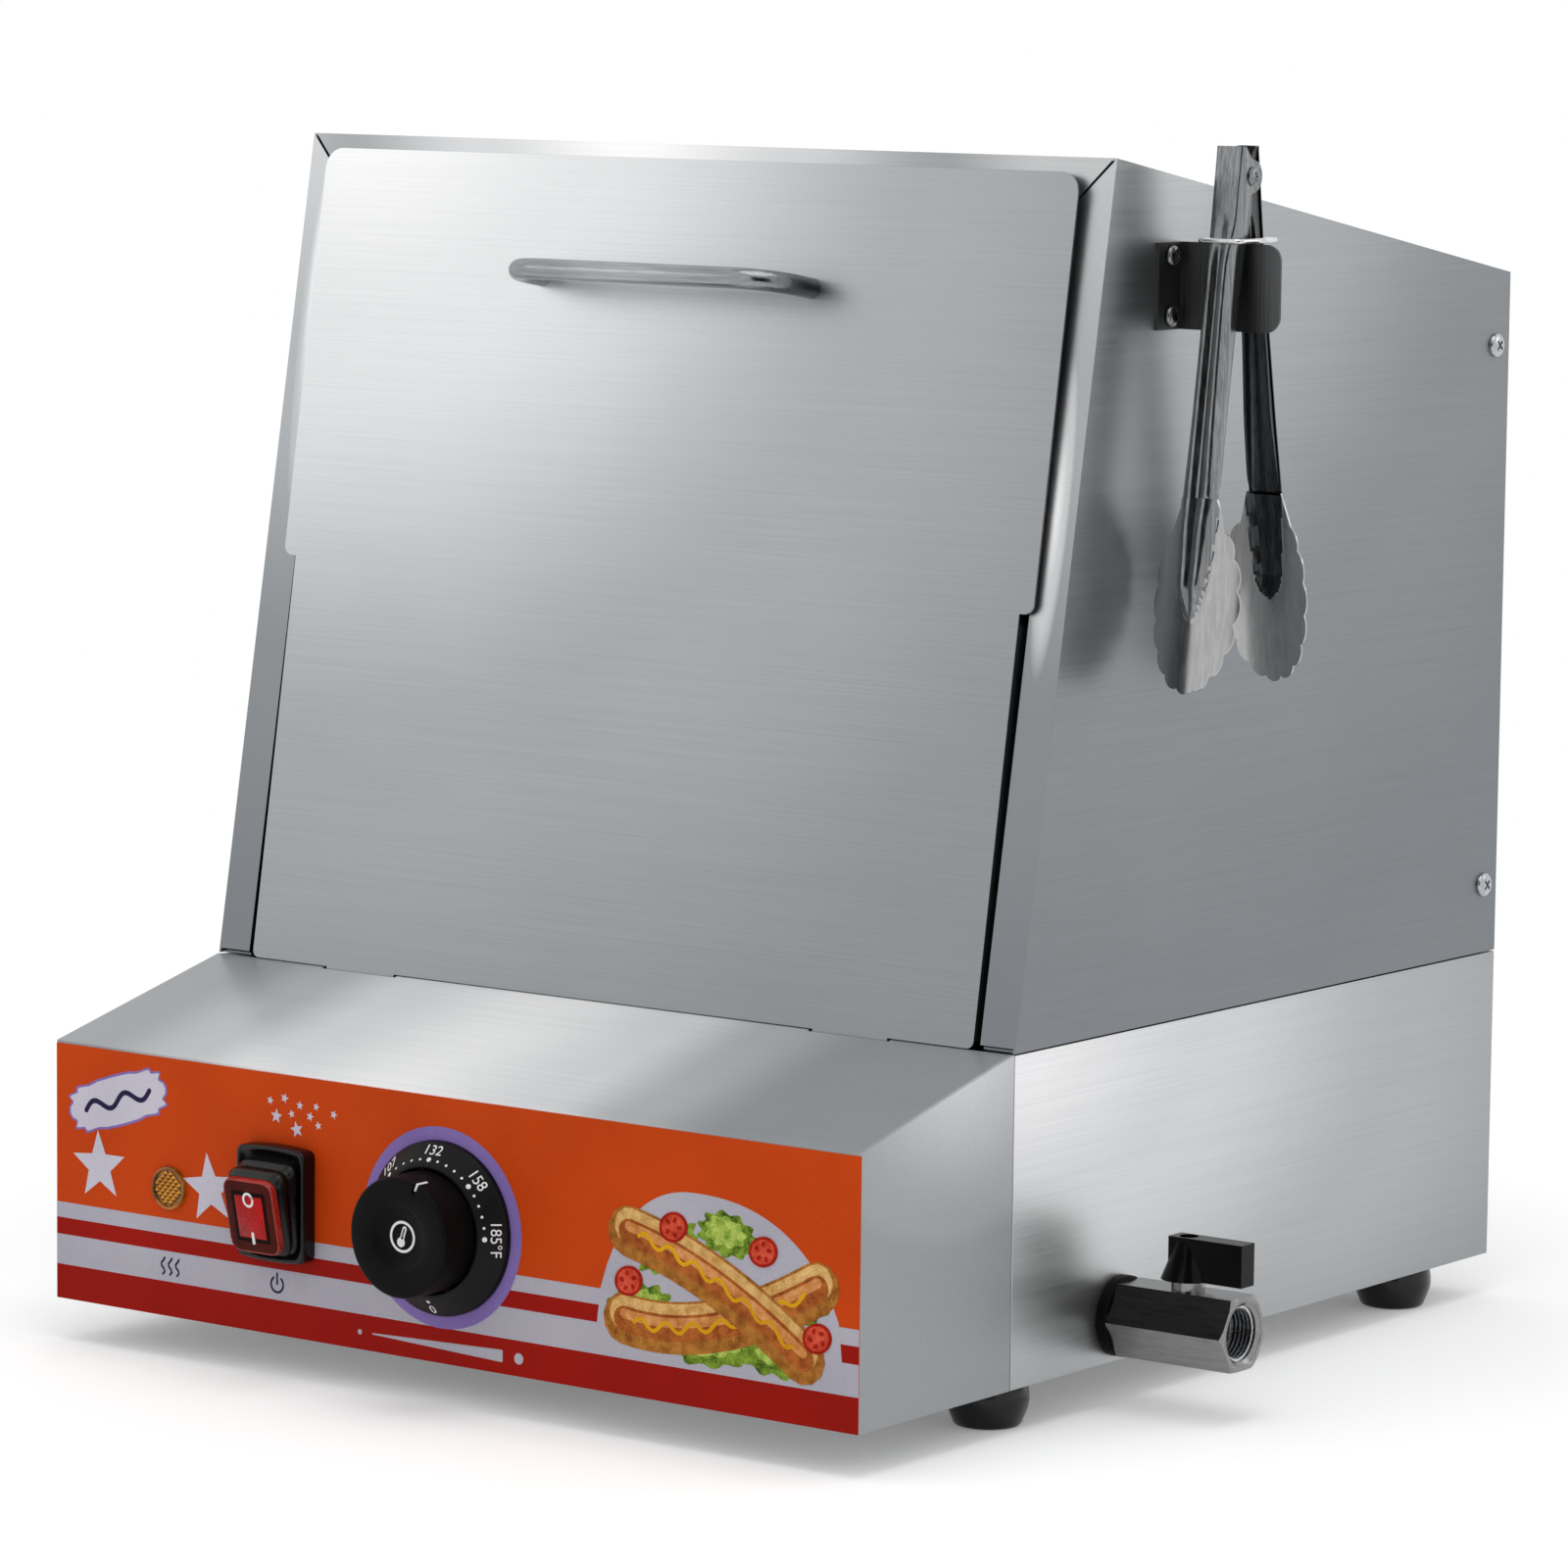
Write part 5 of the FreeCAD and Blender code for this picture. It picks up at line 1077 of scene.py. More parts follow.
class STEAMER_OT_knob(SteamerOperator, bpy.types.Operator):
    """Models the knob with its dish, pointer and thermometer sign"""
    bl_idname = "steamer.knob"
    bl_label = "Knob"

    def execute(self, context):
        centre = panel(*DIAL)
        depth = context.scene.steamer_dial.knob_dish / MM
        face, floor, side = 26.0, 26.0 - depth, 22.5
        ray = Vector((math.cos(POINTER), 0, math.sin(POINTER)))
        across = Vector((-ray.z, 0, ray.x))

        def on_knob(a, b, out):
            """A point by its distances along and across the pointer, and out of the panel."""
            return centre + (ray * a + across * b + FRONT * out) * MM

        profile = [(0, 2.6), (side, 2.6), (side, 24.6), (22.35, 25.3), (21.9, 25.8), (21.2, face)]
        profile += [(radius, face - share * depth) for radius, share in DISH] + [(6.4, floor), (0, floor)]
        knob = turned("knob_body", profile, centre, FRONT, 96)
        groove = band([Vector((19.4, 0)), Vector((26, 0))], 1.9)
        carve(knob, slab("knob_groove", [on_knob(p.x, p.y, face - 1) for p in groove], FRONT * 3 * MM))
        smooth(bevel(knob, 0.25, 2, 50))
        dressed(paint(knob, "knob"), "knob", "thermostat_knob")
        on_face = [on_knob(a, b, 24.95) for a, b in ((19.6, -0.5), (22.3, -0.5), (22.3, 0.5), (19.6, 0.5))]
        on_side = [on_knob(22.3, b, h) for b, h in ((-0.5, 19.4), (-0.5, 25.07), (0.5, 25.07), (0.5, 19.4))]
        strips = [slab("knob_pointer_face", on_face, FRONT * 0.12 * MM),
                  slab("knob_pointer_side", on_side, ray * 0.26 * MM)]
        dressed(paint(joined("knob_pointer", strips), "mark"), "knob", slot="knob_plastic")
        low, high = floor - 0.05, floor + 0.06
        profile = [(4.9, low), (5.9, low), (5.9, high), (4.9, high), (4.9, low)]
        ring = turned("knob_sign_ring", profile, centre, FRONT, 48)
        dressed(paint(ring, "mark"), "knob", slot="knob_plastic")
        tilt = Matrix.Rotation(math.radians(-18), 2)

        def sign(name, outline, finish, layer):
            points = [tilt @ Vector(p) for p in outline]
            places = [centre + (RIGHT * p.x + UP * p.y + FRONT * low) * MM for p in points]
            piece = slab(name, places, FRONT * (0.08 + 0.03 * layer) * MM)
            dressed(paint(piece, finish), "knob", slot="knob_plastic")

        sign("knob_sign_stem", band([Vector((0, -1.2)), Vector((0, 3.2))], 1.9), "mark", 1)
        sign("knob_sign_bulb", disc((0, -2.2), 1.8, 32), "mark", 2)
        sign("knob_sign_bore", band([Vector((0, -0.6)), Vector((0, 2.9))], 0.95), "knob", 3)
        for i in range(4):
            base = 0.2 + 0.8 * i
            tick = [(0.0, base), (0.9, base), (0.9, base + 0.3), (0.0, base + 0.3)]
            sign("knob_sign_tick_%d" % i, tick, "mark", 4)
        kept("thermostat_shaft", "zinc")
        return {"FINISHED"}


# Switch

# Middle of the switch on the panel as (x, z), and the height and rest tilt of its rocker's axle
SWITCH = (-76.5, 50.9)
ROCKER_AXLE, ROCKER_TILT = 1.5, math.radians(12)


def on_switch(u, v, out):
    """A point of the frame, right and up from the switch's middle and out of the panel."""
    return panel(SWITCH[0] + u, SWITCH[1] + v, out)


def on_rocker(u, v, out):
    """A point of the tilted rocker, whose axle lies behind its middle."""
    cosine, sine, arm = math.cos(ROCKER_TILT), math.sin(ROCKER_TILT), out - ROCKER_AXLE
    return on_switch(u, v * cosine - arm * sine, v * sine + arm * cosine + ROCKER_AXLE)


class SwitchSettings(bpy.types.PropertyGroup):
    arch: bpy.props.FloatProperty(
        name="Arch", description="Rise of the frame's curved top and bottom edges", default=0.0011,
        unit="LENGTH", precision=5)
    rib: bpy.props.FloatProperty(
        name="Bellows rib", description="Reach of the bellows' ribs", default=0.0011, unit="LENGTH",
        precision=5)


def arched(width, height, corner, rise):
    """A round-cornered outline with its top and bottom edges bowed outwards."""
    points, full = ring_of(width, height, corner, 6), []
    for i, point in enumerate(points):
        ahead = points[(i + 1) % len(points)]
        steps = 6 if (ahead - point).length > width * 0.4 else 1
        full += [point.lerp(ahead, k / steps) for k in range(steps)]
    for point in full:
        share = 1 - (2 * point.x / width) ** 2
        point.y += math.copysign(rise * share, point.y) if abs(point.y) > height * 0.3 else 0.0
    return full


class STEAMER_OT_switch(SteamerOperator, bpy.types.Operator):
    """Models the switch: frame, bellows and red rocker"""
    bl_idname = "steamer.switch"
    bl_label = "Switch"

    def execute(self, context):
        settings = context.scene.steamer_switch
        arch, rib = settings.arch / MM, settings.rib / MM
        rings = []
        for width, height, corner, rise, out in (
                (33.0, 41.6, 3.0, arch, FILM), (33.0, 41.6, 3.0, arch, 6.4), (32.4, 41.0, 3.0, arch, 7.1),
                (31.4, 40.0, 3.0, arch, 7.4), (30.0, 38.4, 3.0, arch, 7.3), (28.4, 36.4, 3.4, arch, 6.2),
                (26.6, 34.0, 4.0, 0.5, 5.2), (24.0, 31.4, 4.0, 0.3, 5.0), (21.6, 29.0, 3.6, 0.2, 5.0),
                (21.6, 29.0, 3.6, 0.2, FILM)):
            rings.append([on_switch(p.x, p.y, out) for p in arched(width, height, corner, rise)])
        surround = loft("switch_surround", rings + [rings[0]], caps=(False, False))
        smooth(bevel(surround, 0.3, 2, 30), 40)
        dressed(paint(surround, "boot"), "cabinet", "switch_frame")
        # The bellows runs from the frame's floor to the rocker's rim, with two ribs
        profile = ((0.0, 0.0), (0.1, 0.35), (0.2, 1.0), (0.34, 1.0), (0.42, 0.2), (0.5, 0.05), (0.58, 0.3),
                   (0.68, 1.0), (0.82, 1.0), (0.9, 0.3), (1.0, 0.0))
        foot, neck = 5.05, 15.2

        def wall(share, grow, low_corner, high_corner):
            """The bellows' outline at a share of its height, grown by some millimetres."""
            low = arched(25.4 + 2 * grow, 32.4 + 2 * grow, low_corner, 0.3)
            high = arched(24.2 + 2 * grow, 29.2 + 2 * grow, high_corner, 0.1)
            return [on_switch(p.x, p.y, foot).lerp(on_rocker(q.x, q.y, neck), share)
                    for p, q in zip(low, high)]

        walls = [wall(share, rib * swell, 4.2, 4.6) for share, swell in profile]
        walls += [wall(share, -1.6, 3.4, 3.6) for share in (1.0, 0.0)]
        bellows = smooth(loft("switch_bellows", walls + [walls[0]], caps=(False, False)), 60)
        paint(bellows, "boot")
        on_switch(0, 0, 5.6)
        on_switch(0, 0, 14.6)
        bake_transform(bellows)

        def plate(name, rings, finish, *nodes):
            made = [[on_rocker(p.x, p.y, out) for p in ring_of(w, h, r, 7)] for w, h, r, out in rings]
            piece = smooth(loft(name, made), 40)
            return dressed(paint(piece, finish), "rocker", *nodes, slot="switch_plastic")

        plate("rocker_rim", ((24.0, 29.0, 5.0, 15.0), (24.0, 29.0, 5.0, 17.3), (23.7, 28.7, 4.9, 17.8),
                             (23.1, 28.1, 4.7, 17.98), (22.5, 27.5, 4.4, 17.85)), "cap_rim", "switch_rocker")
        plate("rocker_cap", ((22.8, 27.8, 4.5, 17.5), (22.8, 27.8, 4.5, 17.88), (21.8, 26.8, 4.0, 17.98),
                             (16.2, 19.8, 1.2, 18.0)), "cap")
        plate("rocker_window_frame", ((16.4, 20.0, 1.2, 17.9), (16.4, 20.0, 1.2, 18.04),
                                      (15.6, 19.2, 0.9, 18.08)), "cap_inner")
        plate("rocker_window", ((13.2, 16.6, 0.5, 17.9), (13.2, 16.6, 0.5, 18.2), (12.8, 16.2, 0.4, 18.3)),
              "rocker")
        sides = [[on_rocker(p.x, p.y + 6.9, out) for p in disc((0, 0), r, 32, 1.12)]
                 for r, out in ((1.75, 18.2), (2.65, 18.2), (2.65, 18.38), (1.75, 18.38))]
        off = loft("rocker_mark_off", sides + [sides[0]], caps=(False, False))
        bar = band([Vector((0, -10.2)), Vector((0, -6.4))], 1.2)
        lift = on_rocker(0, 0, 1) - on_rocker(0, 0, 0)
        on = slab("rocker_mark_on", [on_rocker(p.x, p.y, 18.0) for p in bar], lift * 0.36)
        for mark in (off, on):
            dressed(paint(mark, "mark"), "rocker", slot="switch_plastic")
        kept("switch_body", "boot")
        return {"FINISHED"}


# Pilot lamp

# Middle of the lamp on the panel as (x, z)
LAMP = (-132.0, 49.5)


class LampSettings(bpy.types.PropertyGroup):
    pyramid: bpy.props.FloatProperty(
        name="Pyramid", description="Side of the lens's small pyramids", default=0.0019, unit="LENGTH",
        precision=5)


class STEAMER_OT_lamp(SteamerOperator, bpy.types.Operator):
    """Models the amber pilot lamp with its lens of small pyramids"""
    bl_idname = "steamer.lamp"
    bl_label = "Pilot lamp"

    def execute(self, context):
        centre = panel(*LAMP)
        profile = [(0, FILM), (8.2, FILM), (8.2, 1.5), (8.05, 1.9), (7.7, 2.1), (7.3, 2.05), (7.0, 1.7),
                   (6.9, 1.2), (0, 1.2)]
        rim = turned("lamp_rim", profile, centre, FRONT, 64)
        dressed(paint(rim, "amber_rim"), "cabinet", "pilot_lamp_lens")
        side, count = context.scene.steamer_lamp.pyramid, 8
        # Radius of the lens, height of its pyramids, its thickness and its height over the panel
        radius, peak, thick, base = 6.3, 1.1, 0.4, 1.6
        clear_selection()
        bpy.ops.mesh.primitive_grid_add(x_subdivisions=count, y_subdivisions=count, size=count * side)
        lens = bpy.context.object
        lens.name = "lamp_pyramids"
        edit(lens)
        choose(lens, lambda f: f.calc_center_median().length > radius * MM)
        bpy.ops.mesh.delete(type="FACE")
        bpy.ops.mesh.select_all(action="SELECT")
        bpy.ops.mesh.poke(offset=peak * MM)
        bpy.ops.object.mode_set(mode="OBJECT")
        apply_modifier(lens, "SOLIDIFY", thickness=thick * MM, offset=-1.0)
        turn = Matrix((RIGHT, UP, FRONT)).transposed().to_4x4() @ Matrix.Rotation(math.radians(45), 4, "Z")
        lens.data.transform(Matrix.Translation(centre + FRONT * base * MM) @ turn)
        edit(lens)
        close_up(lens)
        # Facets turned towards the upper left get the bright amber, a painted highlight, and the rest the
        # dark amber, painted shade
        paint(lens, "amber", "amber_painted_shade")
        for face in lens.data.polygons:
            face.material_index = int(face.normal.dot(UP + LEFT * 0.4) < 0)
        dressed(lens, "cabinet", slot="lamp_amber")
        kept("pilot_lamp_body", "lamp_body")
        return {"FINISHED"}


# Handle and screws


class STEAMER_OT_handle(SteamerOperator, bpy.types.Operator):
    """Dresses the door's handle and its hidden fasteners and bumpers"""
    bl_idname = "steamer.handle"
    bl_label = "Handle"

    def execute(self, context):
        handle = copy_of("door_handle", "handle_bar")
        smooth(handle, 50)
        dressed(paint(handle, "bar"), node_body("door_handle"), "door_handle")
        kept("handle_screws", "zinc")
        kept("door_bumpers", "rubber")
        return {"FINISHED"}


class STEAMER_OT_screws(SteamerOperator, bpy.types.Operator):
    """Models the cross-recessed screws of cabinet and bracket"""
    bl_idname = "steamer.screws"
    bl_label = "Screws"

    def execute(self, context):
        made = []
        for i, (low, high) in enumerate(islands("side_screws")):
            middle = (low + high) / 2
            outward = RIGHT if middle.x > ORIGIN.x else LEFT
            place = Vector((high.x if outward.x > 0 else low.x, middle.y, middle.z)) - outward * 2.3 * MM
            made.append(pan_head("side_screw_%d" % i, place, outward, 4.8, 2.3, 2.45, 4.7))
        dressed(paint(joined("side_screw_set", made), "zinc"), "cabinet", "side_screws")
        made = []
        for i, (low, high) in enumerate(islands("bracket_screws")):
            middle = (low + high) / 2
            radius = (high.z - low.z) / 2 / MM
            thick = 1.9
            place = Vector((high.x, middle.y, middle.z)) - RIGHT * thick * MM
            made.append(pan_head("bracket_screw_%d" % i, place, RIGHT, radius, thick, 1.45,
                                 (high.x - low.x) / MM - thick))
        # The bracket's screws take the darkened zinc: painted dark reflection
        dressed(paint(joined("bracket_screw_set", made), "zinc_painted_dark"), "cabinet", "bracket_screws")
        kept("control_box_screws", "zinc")
        return {"FINISHED"}


# Drain valve

# The drain's axis in the drawing frame as (y, z)
DRAIN = (163.0, 17.0)


class ValveSettings(bpy.types.PropertyGroup):
    thread_pitch: bpy.props.FloatProperty(
        name="Thread pitch", description="Distance of the outlet's thread ridges", default=0.0017,
        unit="LENGTH", precision=5)
    lever_edge: bpy.props.FloatProperty(
        name="Lever edge", description="Round on the lever's edges", default=0.0011, unit="LENGTH",
        precision=5)


class STEAMER_OT_valve(SteamerOperator, bpy.types.Operator):
    """Models the drain valve with its threads and lever"""
    bl_idname = "steamer.valve"
    bl_label = "Drain valve"

    def execute(self, context):
        settings = context.scene.steamer_valve
        body = softened("valve_body", "nickel", 0.45, 2, 25)
        # The upper front facets take the darker copy of the nickel: a painted dark reflection
        body.data.materials.append(FINISHES["nickel_painted_dark"])
        for face in body.data.polygons:
            rise, front = face.normal.z, -face.normal.y
            if rise > 0.4 and front > 0.75 or rise > 0.6 and front > 0.4:
                face.material_index = 1
        centre = spot(0, *DRAIN)
        # The bore is countersunk at its mouth, and the thread stands in it as rings
        pitch, turns, root, crest, sunk = settings.thread_pitch / MM, 6, 10.3, 9.4, 11.7
        mouth = 245.0
        start = mouth - 1.5
        floor = start - turns * pitch
        profile = [(0, mouth + 1), (sunk, mouth + 1), (sunk, mouth - 0.3), (root, start), (root, floor),
                   (0, floor), (0, mouth + 1)]
        carve(body, turned("outlet_bore", profile, centre, RIGHT))
        profile = [(root + 0.3, start)]
        for i in range(turns):
            profile += [(radius, start - (i + share) * pitch)
                        for radius, share in ((root, 0), (root, 0.5), (crest, 0.65), (crest, 0.85))]
        profile += [(root, floor), (root + 0.3, floor), (root + 0.3, start)]
        thread = paint(turned("outlet_thread", profile, centre, RIGHT, 64), "zinc", "nickel_painted_dark")
        # The thread's roots take the darker copy of the nickel: painted shade in the bore
        for face in thread.data.polygons:
            reach = face.center - centre
            face.material_index = int(math.hypot(reach.y, reach.z) > (root - 0.1) * MM)
        dressed(thread, "cabinet", slot="valve_brass_plated")
        low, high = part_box("drain_washer")
        x0, x1 = (low.x - ORIGIN.x) / MM, (high.x - ORIGIN.x) / MM
        outer = (high.z - low.z) / 2 / MM
        corners = eased([(10.5, x0, 0), (outer, x0, 0.6), (outer, x1, 1.2), (10.5, x1, 0)])
        profile = [(p.x, p.y) for p in corners]
        washer = turned("washer_ring", profile + profile[:1], centre, RIGHT, 64)
        dressed(paint(washer, "washer"), "cabinet", "drain_washer")
        softened("valve_lever", "lever", settings.lever_edge / MM, 4, 30)
        softened("lever_screw", "zinc", 0.2)
        for node, finish in (("valve_seats", "seat"), ("valve_ball", "nickel"), ("valve_stem", "nickel")):
            kept(node, finish)
        softened("valve_retainer", "nickel", 0.2)
        softened("drain_nut", "nickel", 0.3)
        return {"FINISHED"}


# Feet


class STEAMER_OT_feet(SteamerOperator, bpy.types.Operator):
    """Models the four bellied rubber feet"""
    bl_idname = "steamer.feet"
    bl_label = "Feet"

    def execute(self, context):
        made = []
        for i, (low, high) in enumerate(islands("feet")):
            place = Vector(((low.x + high.x) / 2, (low.y + high.y) / 2, high.z))
            profile = [(0, -8.5), (6.0, -8.5), (6.0, -15.9), (6.4, -16.4), (7.0, -16.5), (11.0, -16.5),
                       (12.0, -16.2), (12.7, -15.4), (13.3, -13.8), (14.3, -11.4), (15.0, -9.2), (15.4, -7.0),
                       (15.3, -4.4), (14.9, -2.0), (14.5, -0.4), (14.2, 0), (0, 0)]
            made.append(turned("foot_%d" % i, profile, place, UP, 64))
        dressed(paint(joined("rubber_feet", made), "rubber"), "cabinet", "feet")
        kept("foot_nuts", "zinc")
        return {"FINISHED"}


# Tongs

# The rivet's middle in the drawing frame. An arm is measured from it: w across, o outwards and s down
PIVOT = (215.0, 191.8, 436.5)
# Height of an arm's web over the pivot, its sheet, the round between web and flange, and the eye's radius
WEB, SHEET, FLANGE_ROUND, EYE = 8.0, 1.0, 1.5, 6.2
# Ends of the channel, places of neck, middle and tip of a head, its half width and the radius of its cup
CHANNEL, NECK, HEAD_MIDDLE, HEAD_TIP, HEAD_HALF, HEAD_ROUND = 119.0, 106.0, 155.5, 189.0, 18.2, 45.0
# The neck at the head's upper end: half its angle in the outline, half its width and where it stops
NECK_ANGLE, NECK_HALF, NECK_STOP = 37.2, 7.4, 118.0
# How deep a head's cup lies under the web, and how steeply the channel falls into it
HEAD_SUNK, CHANNEL_STEEP = 1.9, 4.2
# A head's scallops: how far each bulges, and how far the cup's edge draws back for them
BULGE, DRAWN_BACK = 1.5, 1.2
# Where along the arm its channel has cross sections, and where across the web each has points
LEVELS = [-10, -9, -7.5, -6.2, -5.6, -4.4, -3, -1.5, 0, 1.5, 3, 4.4, 5.6, 6.2, 7, 10, 14]
LEVELS += [18 + 5 * i for i in range(20)] + [116, CHANNEL]
ACROSS = (-0.8, -0.68, -0.56, -0.44, -0.3, -0.15, 0, 0.15, 0.3, 0.44, 0.56, 0.68, 0.8)
# Edge of the flanges along the arm, and the stretch where it keeps back beside the bracket
FLANGE_EDGE = ((-10, 6.0), (-5, 0.6), (7, -0.6), (15, -1.4), (17, -0.6), (33, 0.8), (60, 2.2), (93, 3.6),
               (112, 4.8), (CHANNEL, 6.9))
BESIDE_BRACKET = (8, 17, 60, 90)


class TongSettings(bpy.types.PropertyGroup):
    rib: bpy.props.FloatProperty(
        name="Rib", description="Height of the pressed ribs", default=0.0021, unit="LENGTH", precision=5)
    lobes: bpy.props.IntProperty(
        name="Lobes", description="Scallops on each side of a head", default=6, min=3)


def hung(side):
    """Turns an arm's (width, outwards, down) millimetres into its place on the pivot."""
    turn = Matrix.Rotation(math.radians(7.5 * side), 3, "X")

    def place(w, o, s):
        return spot(*PIVOT) + turn @ Vector((-side * w, side * o, -s)) * MM

    return place


def along(value, stops):
    """Straight interpolation between (place, value) stops."""
    for (p0, v0), (p1, v1) in zip(stops, stops[1:]):
        if value <= p1:
            return v0 + (v1 - v0) * max(0.0, value - p0) / (p1 - p0)
    return stops[-1][1]


def rib_rise(w, s, half, rib):
    """Height of the two pressed ribs over the web, with a groove between them."""
    strength = along(s, ((18, 0.0), (32, 1.0), (150, 1.0), (163, 0.0)))
    spread = along(s, ((34, 0.5), (110, 0.5), (150, 0.36), (163, 0.1))) * half
    crest = math.exp(-((abs(w) - spread) / (0.36 * half)) ** 2)
    return rib * strength * crest


def arm_channel(name, place, halves, rib, clear):
    """Clear is how far the arm's edges keep back beside the bracket, in millimetres."""
    rings = []
    back = tuple(zip(BESIDE_BRACKET, (0.0, clear, clear, 0.0)))
    bend = ((0.0, WEB - FLANGE_ROUND), (0.3, WEB - 0.55), (0.9, WEB - 0.1))
    for s in LEVELS:
        half = along(s, halves)
        low = along(s, FLANGE_EDGE) + along(s, back)
        if abs(s) < EYE:
            low = min(low, -math.sqrt(EYE ** 2 - s * s))
        outer = [(-half, low)] + [(-half + w, o) for w, o in bend]
        outer += [(x * half, WEB + rib_rise(x * half, s, half, rib)) for x in ACROSS]
        outer += [(half - w, o) for w, o in bend[::-1]] + [(half, low)]
        inner = []
        thin = half - SHEET
        for w, o in outer:
            inner.append((w * thin / half, max(o, low) - (SHEET if o > WEB - FLANGE_ROUND - 0.01 else 0)))
        inner[0], inner[-1] = (-thin, low), (thin, low)
        rings.append([place(w, o, s) for w, o in outer + inner[::-1]])
    return loft(name, rings)


def head_outline(lobes):
    """Scalloped outline from the neck round the tip, as (width, down)."""
    wide, long = HEAD_HALF - DRAWN_BACK, HEAD_TIP - HEAD_MIDDLE - DRAWN_BACK
    points, count = [], 2 * lobes + 1
    for i in range(count):
        for k in range(7):
            turn = math.radians(NECK_ANGLE - 90 + (360 - 2 * NECK_ANGLE) * (i + k / 7) / count)
            bulge = BULGE * math.sin(math.pi * k / 7) ** 0.7
            points.append(Vector(((wide + bulge) * math.cos(turn),
                                  HEAD_MIDDLE + (long + bulge) * math.sin(turn))))
    return points + [Vector((-NECK_HALF, NECK_STOP)), Vector((NECK_HALF, NECK_STOP))]


# Half width of the pressed channel in a head, as a share of the arm's: it ends in a point or in a round
POINTED = ((106, 1.12), (119, 1.12), (140, 0.92), (152, 0.66), (160, 0.34), (163, 0.05))
ROUNDED = ((106, 1.12), (119, 1.12), (140, 0.96), (150, 0.84), (155, 0.6), (158, 0.05))


def arm_head(name, place, half, rib, lobes, taper, inner):
    """A cupped head. The arm's pressed channel runs on into it with a taper and the finish called inner,
    which is darker: a painted dark reflection on the front arm and painted shade on the rear one.
    """
    clear_selection()
    wide, long, end = 2 * HEAD_HALF + 4, HEAD_TIP - NECK + 2, taper[-1][0]
    bpy.ops.mesh.primitive_grid_add(x_subdivisions=56, y_subdivisions=96, size=1.0)
    head = bpy.context.object
    head.name = name
    for vertex in head.data.vertices:
        w, s = vertex.co.x * wide, NECK + (vertex.co.y + 0.5) * long
        bend = HEAD_ROUND - math.sqrt(HEAD_ROUND ** 2 - w * w)
        channel = half * along(s, taper)
        inside = max(0.0, min(1.0, (1 - abs(w) / channel) * CHANNEL_STEEP)) if s < end else 0.0
        inside *= inside * (3 - 2 * inside)
        raised = along(s, ((106, 1.2), (119, 2.05), (128, 2.6), (150, 2.2), (end, 0.0))) * inside
        o = WEB - HEAD_SUNK - bend + raised + rib_rise(w, s, half, rib) * inside
        vertex.co = Vector((w, o, s)) * MM
    edit(head)
    bpy.ops.mesh.select_all(action="SELECT")
    bpy.ops.mesh.normals_make_consistent(inside=False)
    bpy.ops.object.mode_set(mode="OBJECT")
    apply_modifier(head, "SOLIDIFY", thickness=SHEET * 0.9 * MM, offset=0.0)
    edit(head)
    close_up(head)
    cutter = slab(name + "_outline", [Vector((p.x, -30, p.y)) * MM for p in head_outline(lobes)],
                  Vector((0, 60, 0)) * MM)
    carve(head, cutter, "INTERSECT")
    paint(head, "tongs", inner)
    for polygon in head.data.polygons:
        w, s = polygon.center.x / MM, polygon.center.z / MM
        polygon.material_index = int(abs(w) < half * along(s, taper) and s < end)
    for vertex in head.data.vertices:
        vertex.co = place(*(vertex.co / MM))
    edit(head)
    close_up(head)
    return smooth(head, 40)


class STEAMER_OT_tongs(SteamerOperator, bpy.types.Operator):
    """Models the tongs' two pressed arms, their rivet, spring and ring"""
    bl_idname = "steamer.tongs"
    bl_label = "Tongs"

    def execute(self, context):
        settings = context.scene.steamer_tongs
        # The front arm's channel takes a painted dark reflection, the rear arm's a painted shade
        for side, node, body, halves, share, clear, taper, inner in (
                (-1, "tong_arm_front", "tongs", ((-10, 6.0), (45, 5.7), (90, 6.4), (CHANNEL, 7.4)),
                 1.0, 0.0, POINTED, "arm"),
                (1, "tong_arm_rear", "tongs_rear", ((-10, 4.6), (40, 4.6), (90, 5.9), (CHANNEL, 7.0)),
                 0.15, 1.8, ROUNDED, "arm_painted_shade")):
            place, rib = hung(side), settings.rib / MM * share
            channel = arm_channel(node + "_channel", place, halves, rib, clear)
            smooth(bevel(channel, 0.15, 1, 50), 45)
            head = arm_head(node + "_head", place, halves[-1][1], rib, settings.lobes, taper, inner)
            dressed(joined(node + "_pressed", [paint(channel, inner), head]), body, node)
        pivot = spot(*PIVOT)
        profile = [(0, 0), (2.0, 0), (2.0, 5.9), (3.6, 5.9), (3.6, 6.5), (3.2, 7.0), (2.2, 7.3), (1.2, 7.3),
                   (1.0, 6.9), (0, 6.9)]
        made = [turned("rivet_%d" % i, profile, pivot, axis, 32) for i, axis in enumerate((RIGHT, LEFT))]
        # The rivet takes the darkened zinc: painted dark reflection
        dressed(paint(joined("rivet_pin", made), "zinc_painted_dark"), "tongs", "tong_rivet")
        softened("tong_spring", "wire", 0.1)
        low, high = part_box("tong_ring")
        z = (low.z + high.z) / 2
        x0, x1, y0, y1 = low.x + MM, high.x - MM, low.y + MM, high.y - MM
        corners = eased([(x, y, 2.6 * MM) for x, y in ((x0, y0), (x1, y0), (x1, y1), (x0, y1))])
        ring = wire("ring_loop", [Vector((p.x, p.y, z)) for p in corners], 0.97, closed=True)
        dressed(paint(ring, "wire"), "tongs_ring", "tong_ring")
        return {"FINISHED"}


# Pieces inside


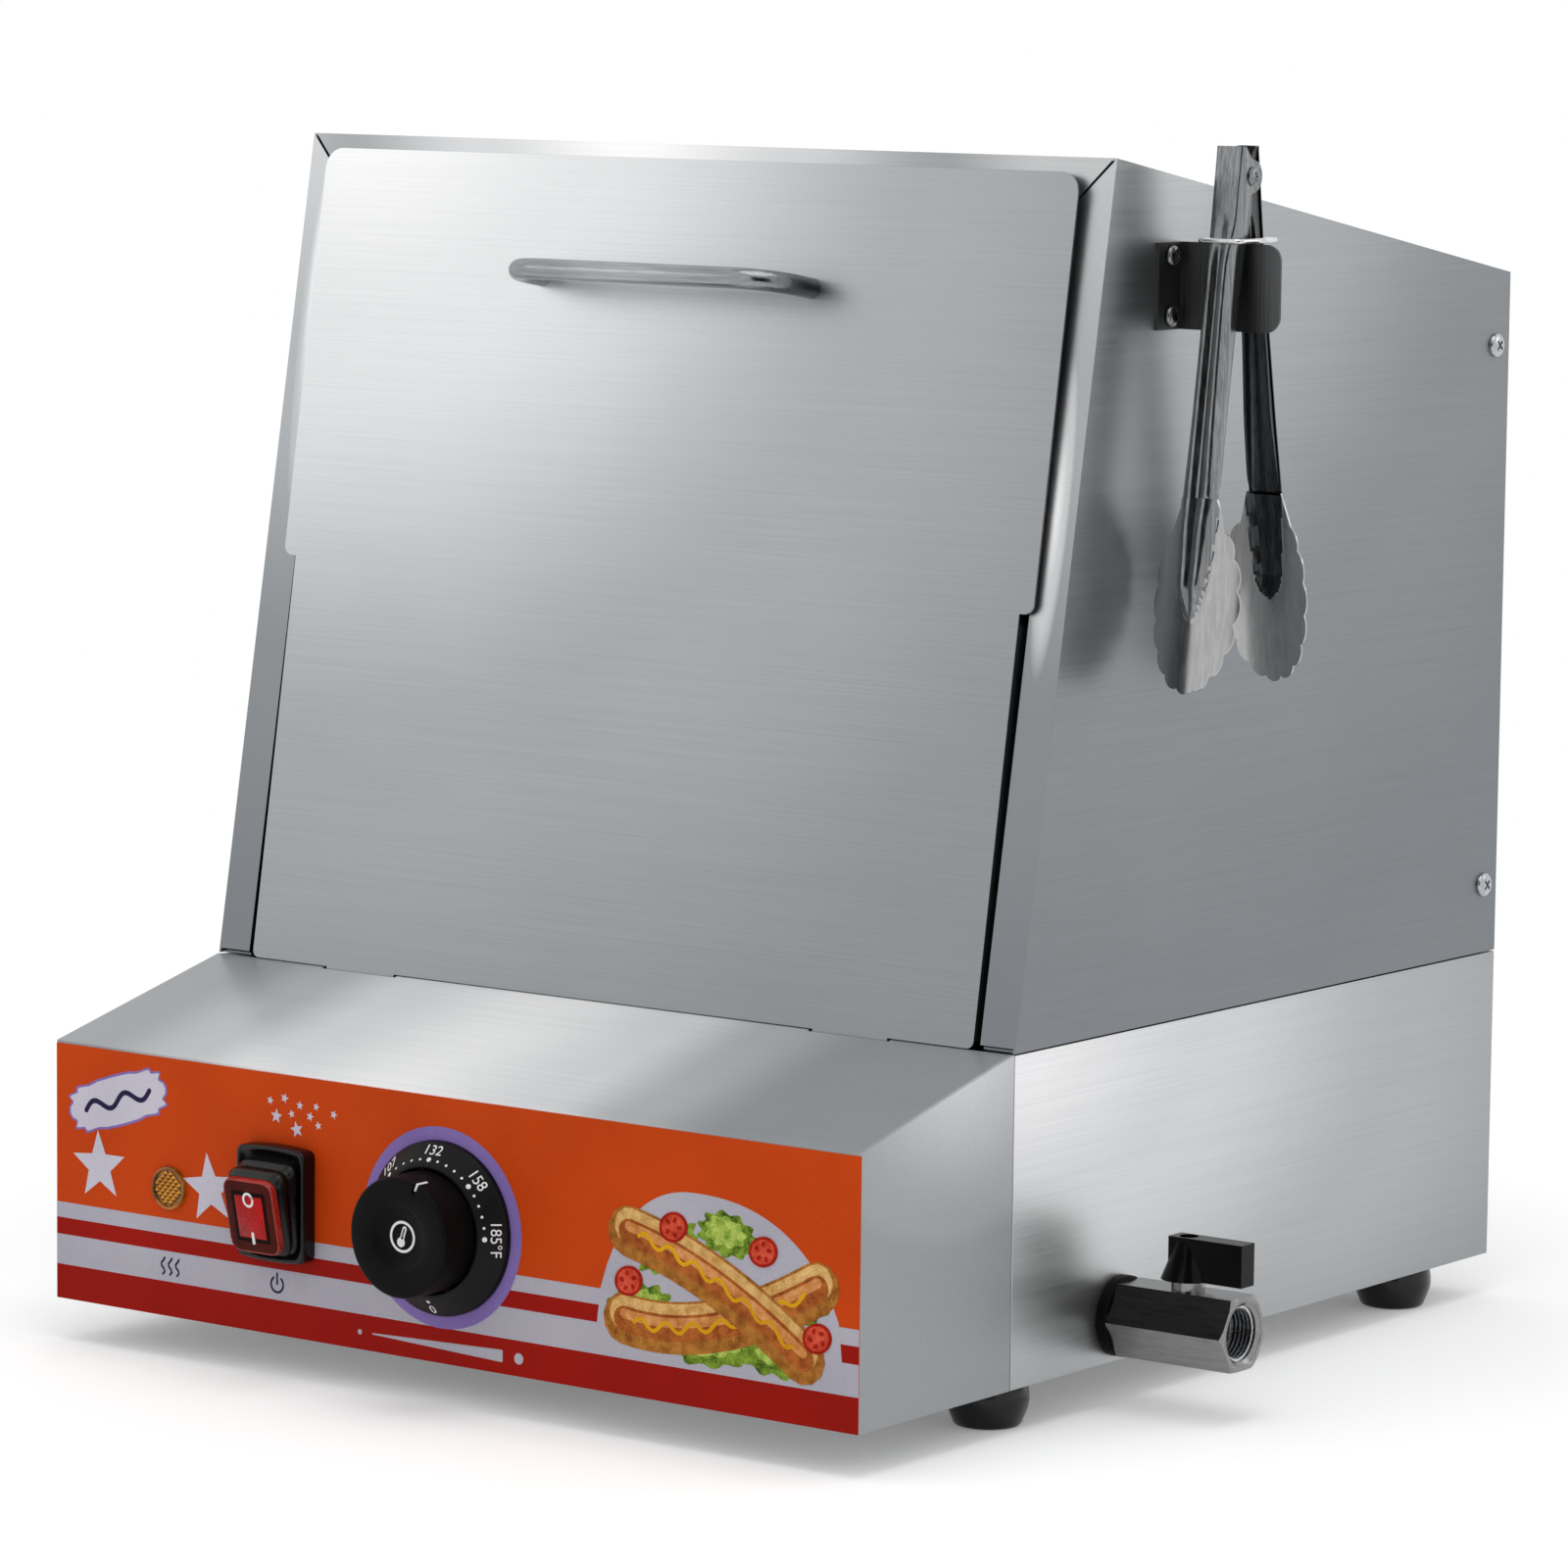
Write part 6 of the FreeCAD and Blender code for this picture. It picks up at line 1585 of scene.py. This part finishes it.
class STEAMER_OT_inside(SteamerOperator, bpy.types.Operator):
    """Dresses heating, wiring and fittings inside"""
    bl_idname = "steamer.inside"
    bl_label = "Inside"

    def execute(self, context):
        for node, finish, width in (
                ("element_glands", "nickel", 0.3), ("thermostat_body", "bakelite", 0.5),
                ("capillary_gland", "nickel", 0.2), ("high_limit_cutout", "bakelite", 0.4),
                ("terminal_block", "lamp_body", 0.3), ("cord_gland", "boot", 0.4)):
            softened(node, finish, width)
        kept("heating_element", "sheath")
        kept("thermostat_bulb", "copper")
        return {"FINISHED"}


class STEAMER_PT_panel(bpy.types.Panel):
    bl_label = "Steamer"
    bl_idname = "STEAMER_PT_panel"
    bl_space_type = "VIEW_3D"
    bl_region_type = "UI"
    bl_category = "Steamer"

    def draw(self, context):
        for name, group in SETTINGS:
            for value in group.__annotations__:
                self.layout.prop(getattr(context.scene, name), value)
        for operator in OPERATORS:
            self.layout.operator(operator.bl_idname)


SETTINGS = (("steamer_stage", StageSettings), ("steamer_sheet", SheetSettings),
            ("steamer_print", PrintSettings), ("steamer_dial", DialSettings),
            ("steamer_switch", SwitchSettings), ("steamer_lamp", LampSettings),
            ("steamer_valve", ValveSettings), ("steamer_tongs", TongSettings))
OPERATORS = (STEAMER_OT_stage, STEAMER_OT_sheets, STEAMER_OT_print, STEAMER_OT_dial, STEAMER_OT_knob,
             STEAMER_OT_switch, STEAMER_OT_lamp, STEAMER_OT_handle, STEAMER_OT_screws, STEAMER_OT_valve,
             STEAMER_OT_feet, STEAMER_OT_tongs, STEAMER_OT_inside)


def register():
    for name, group in SETTINGS:
        bpy.utils.register_class(group)
        setattr(bpy.types.Scene, name, bpy.props.PointerProperty(type=group))
    for operator in OPERATORS:
        bpy.utils.register_class(operator)
    bpy.utils.register_class(STEAMER_PT_panel)


def unregister():
    bpy.utils.unregister_class(STEAMER_PT_panel)
    for operator in reversed(OPERATORS):
        bpy.utils.unregister_class(operator)
    for name, group in reversed(SETTINGS):
        delattr(bpy.types.Scene, name)
        bpy.utils.unregister_class(group)


def main():
    register()
    bpy.context.scene.view_settings.view_transform = "Standard"
    make_finishes()
    for operator in OPERATORS:
        area, name = operator.bl_idname.split(".")
        getattr(getattr(bpy.ops, area), name)()


if __name__ == "__main__":
    main()
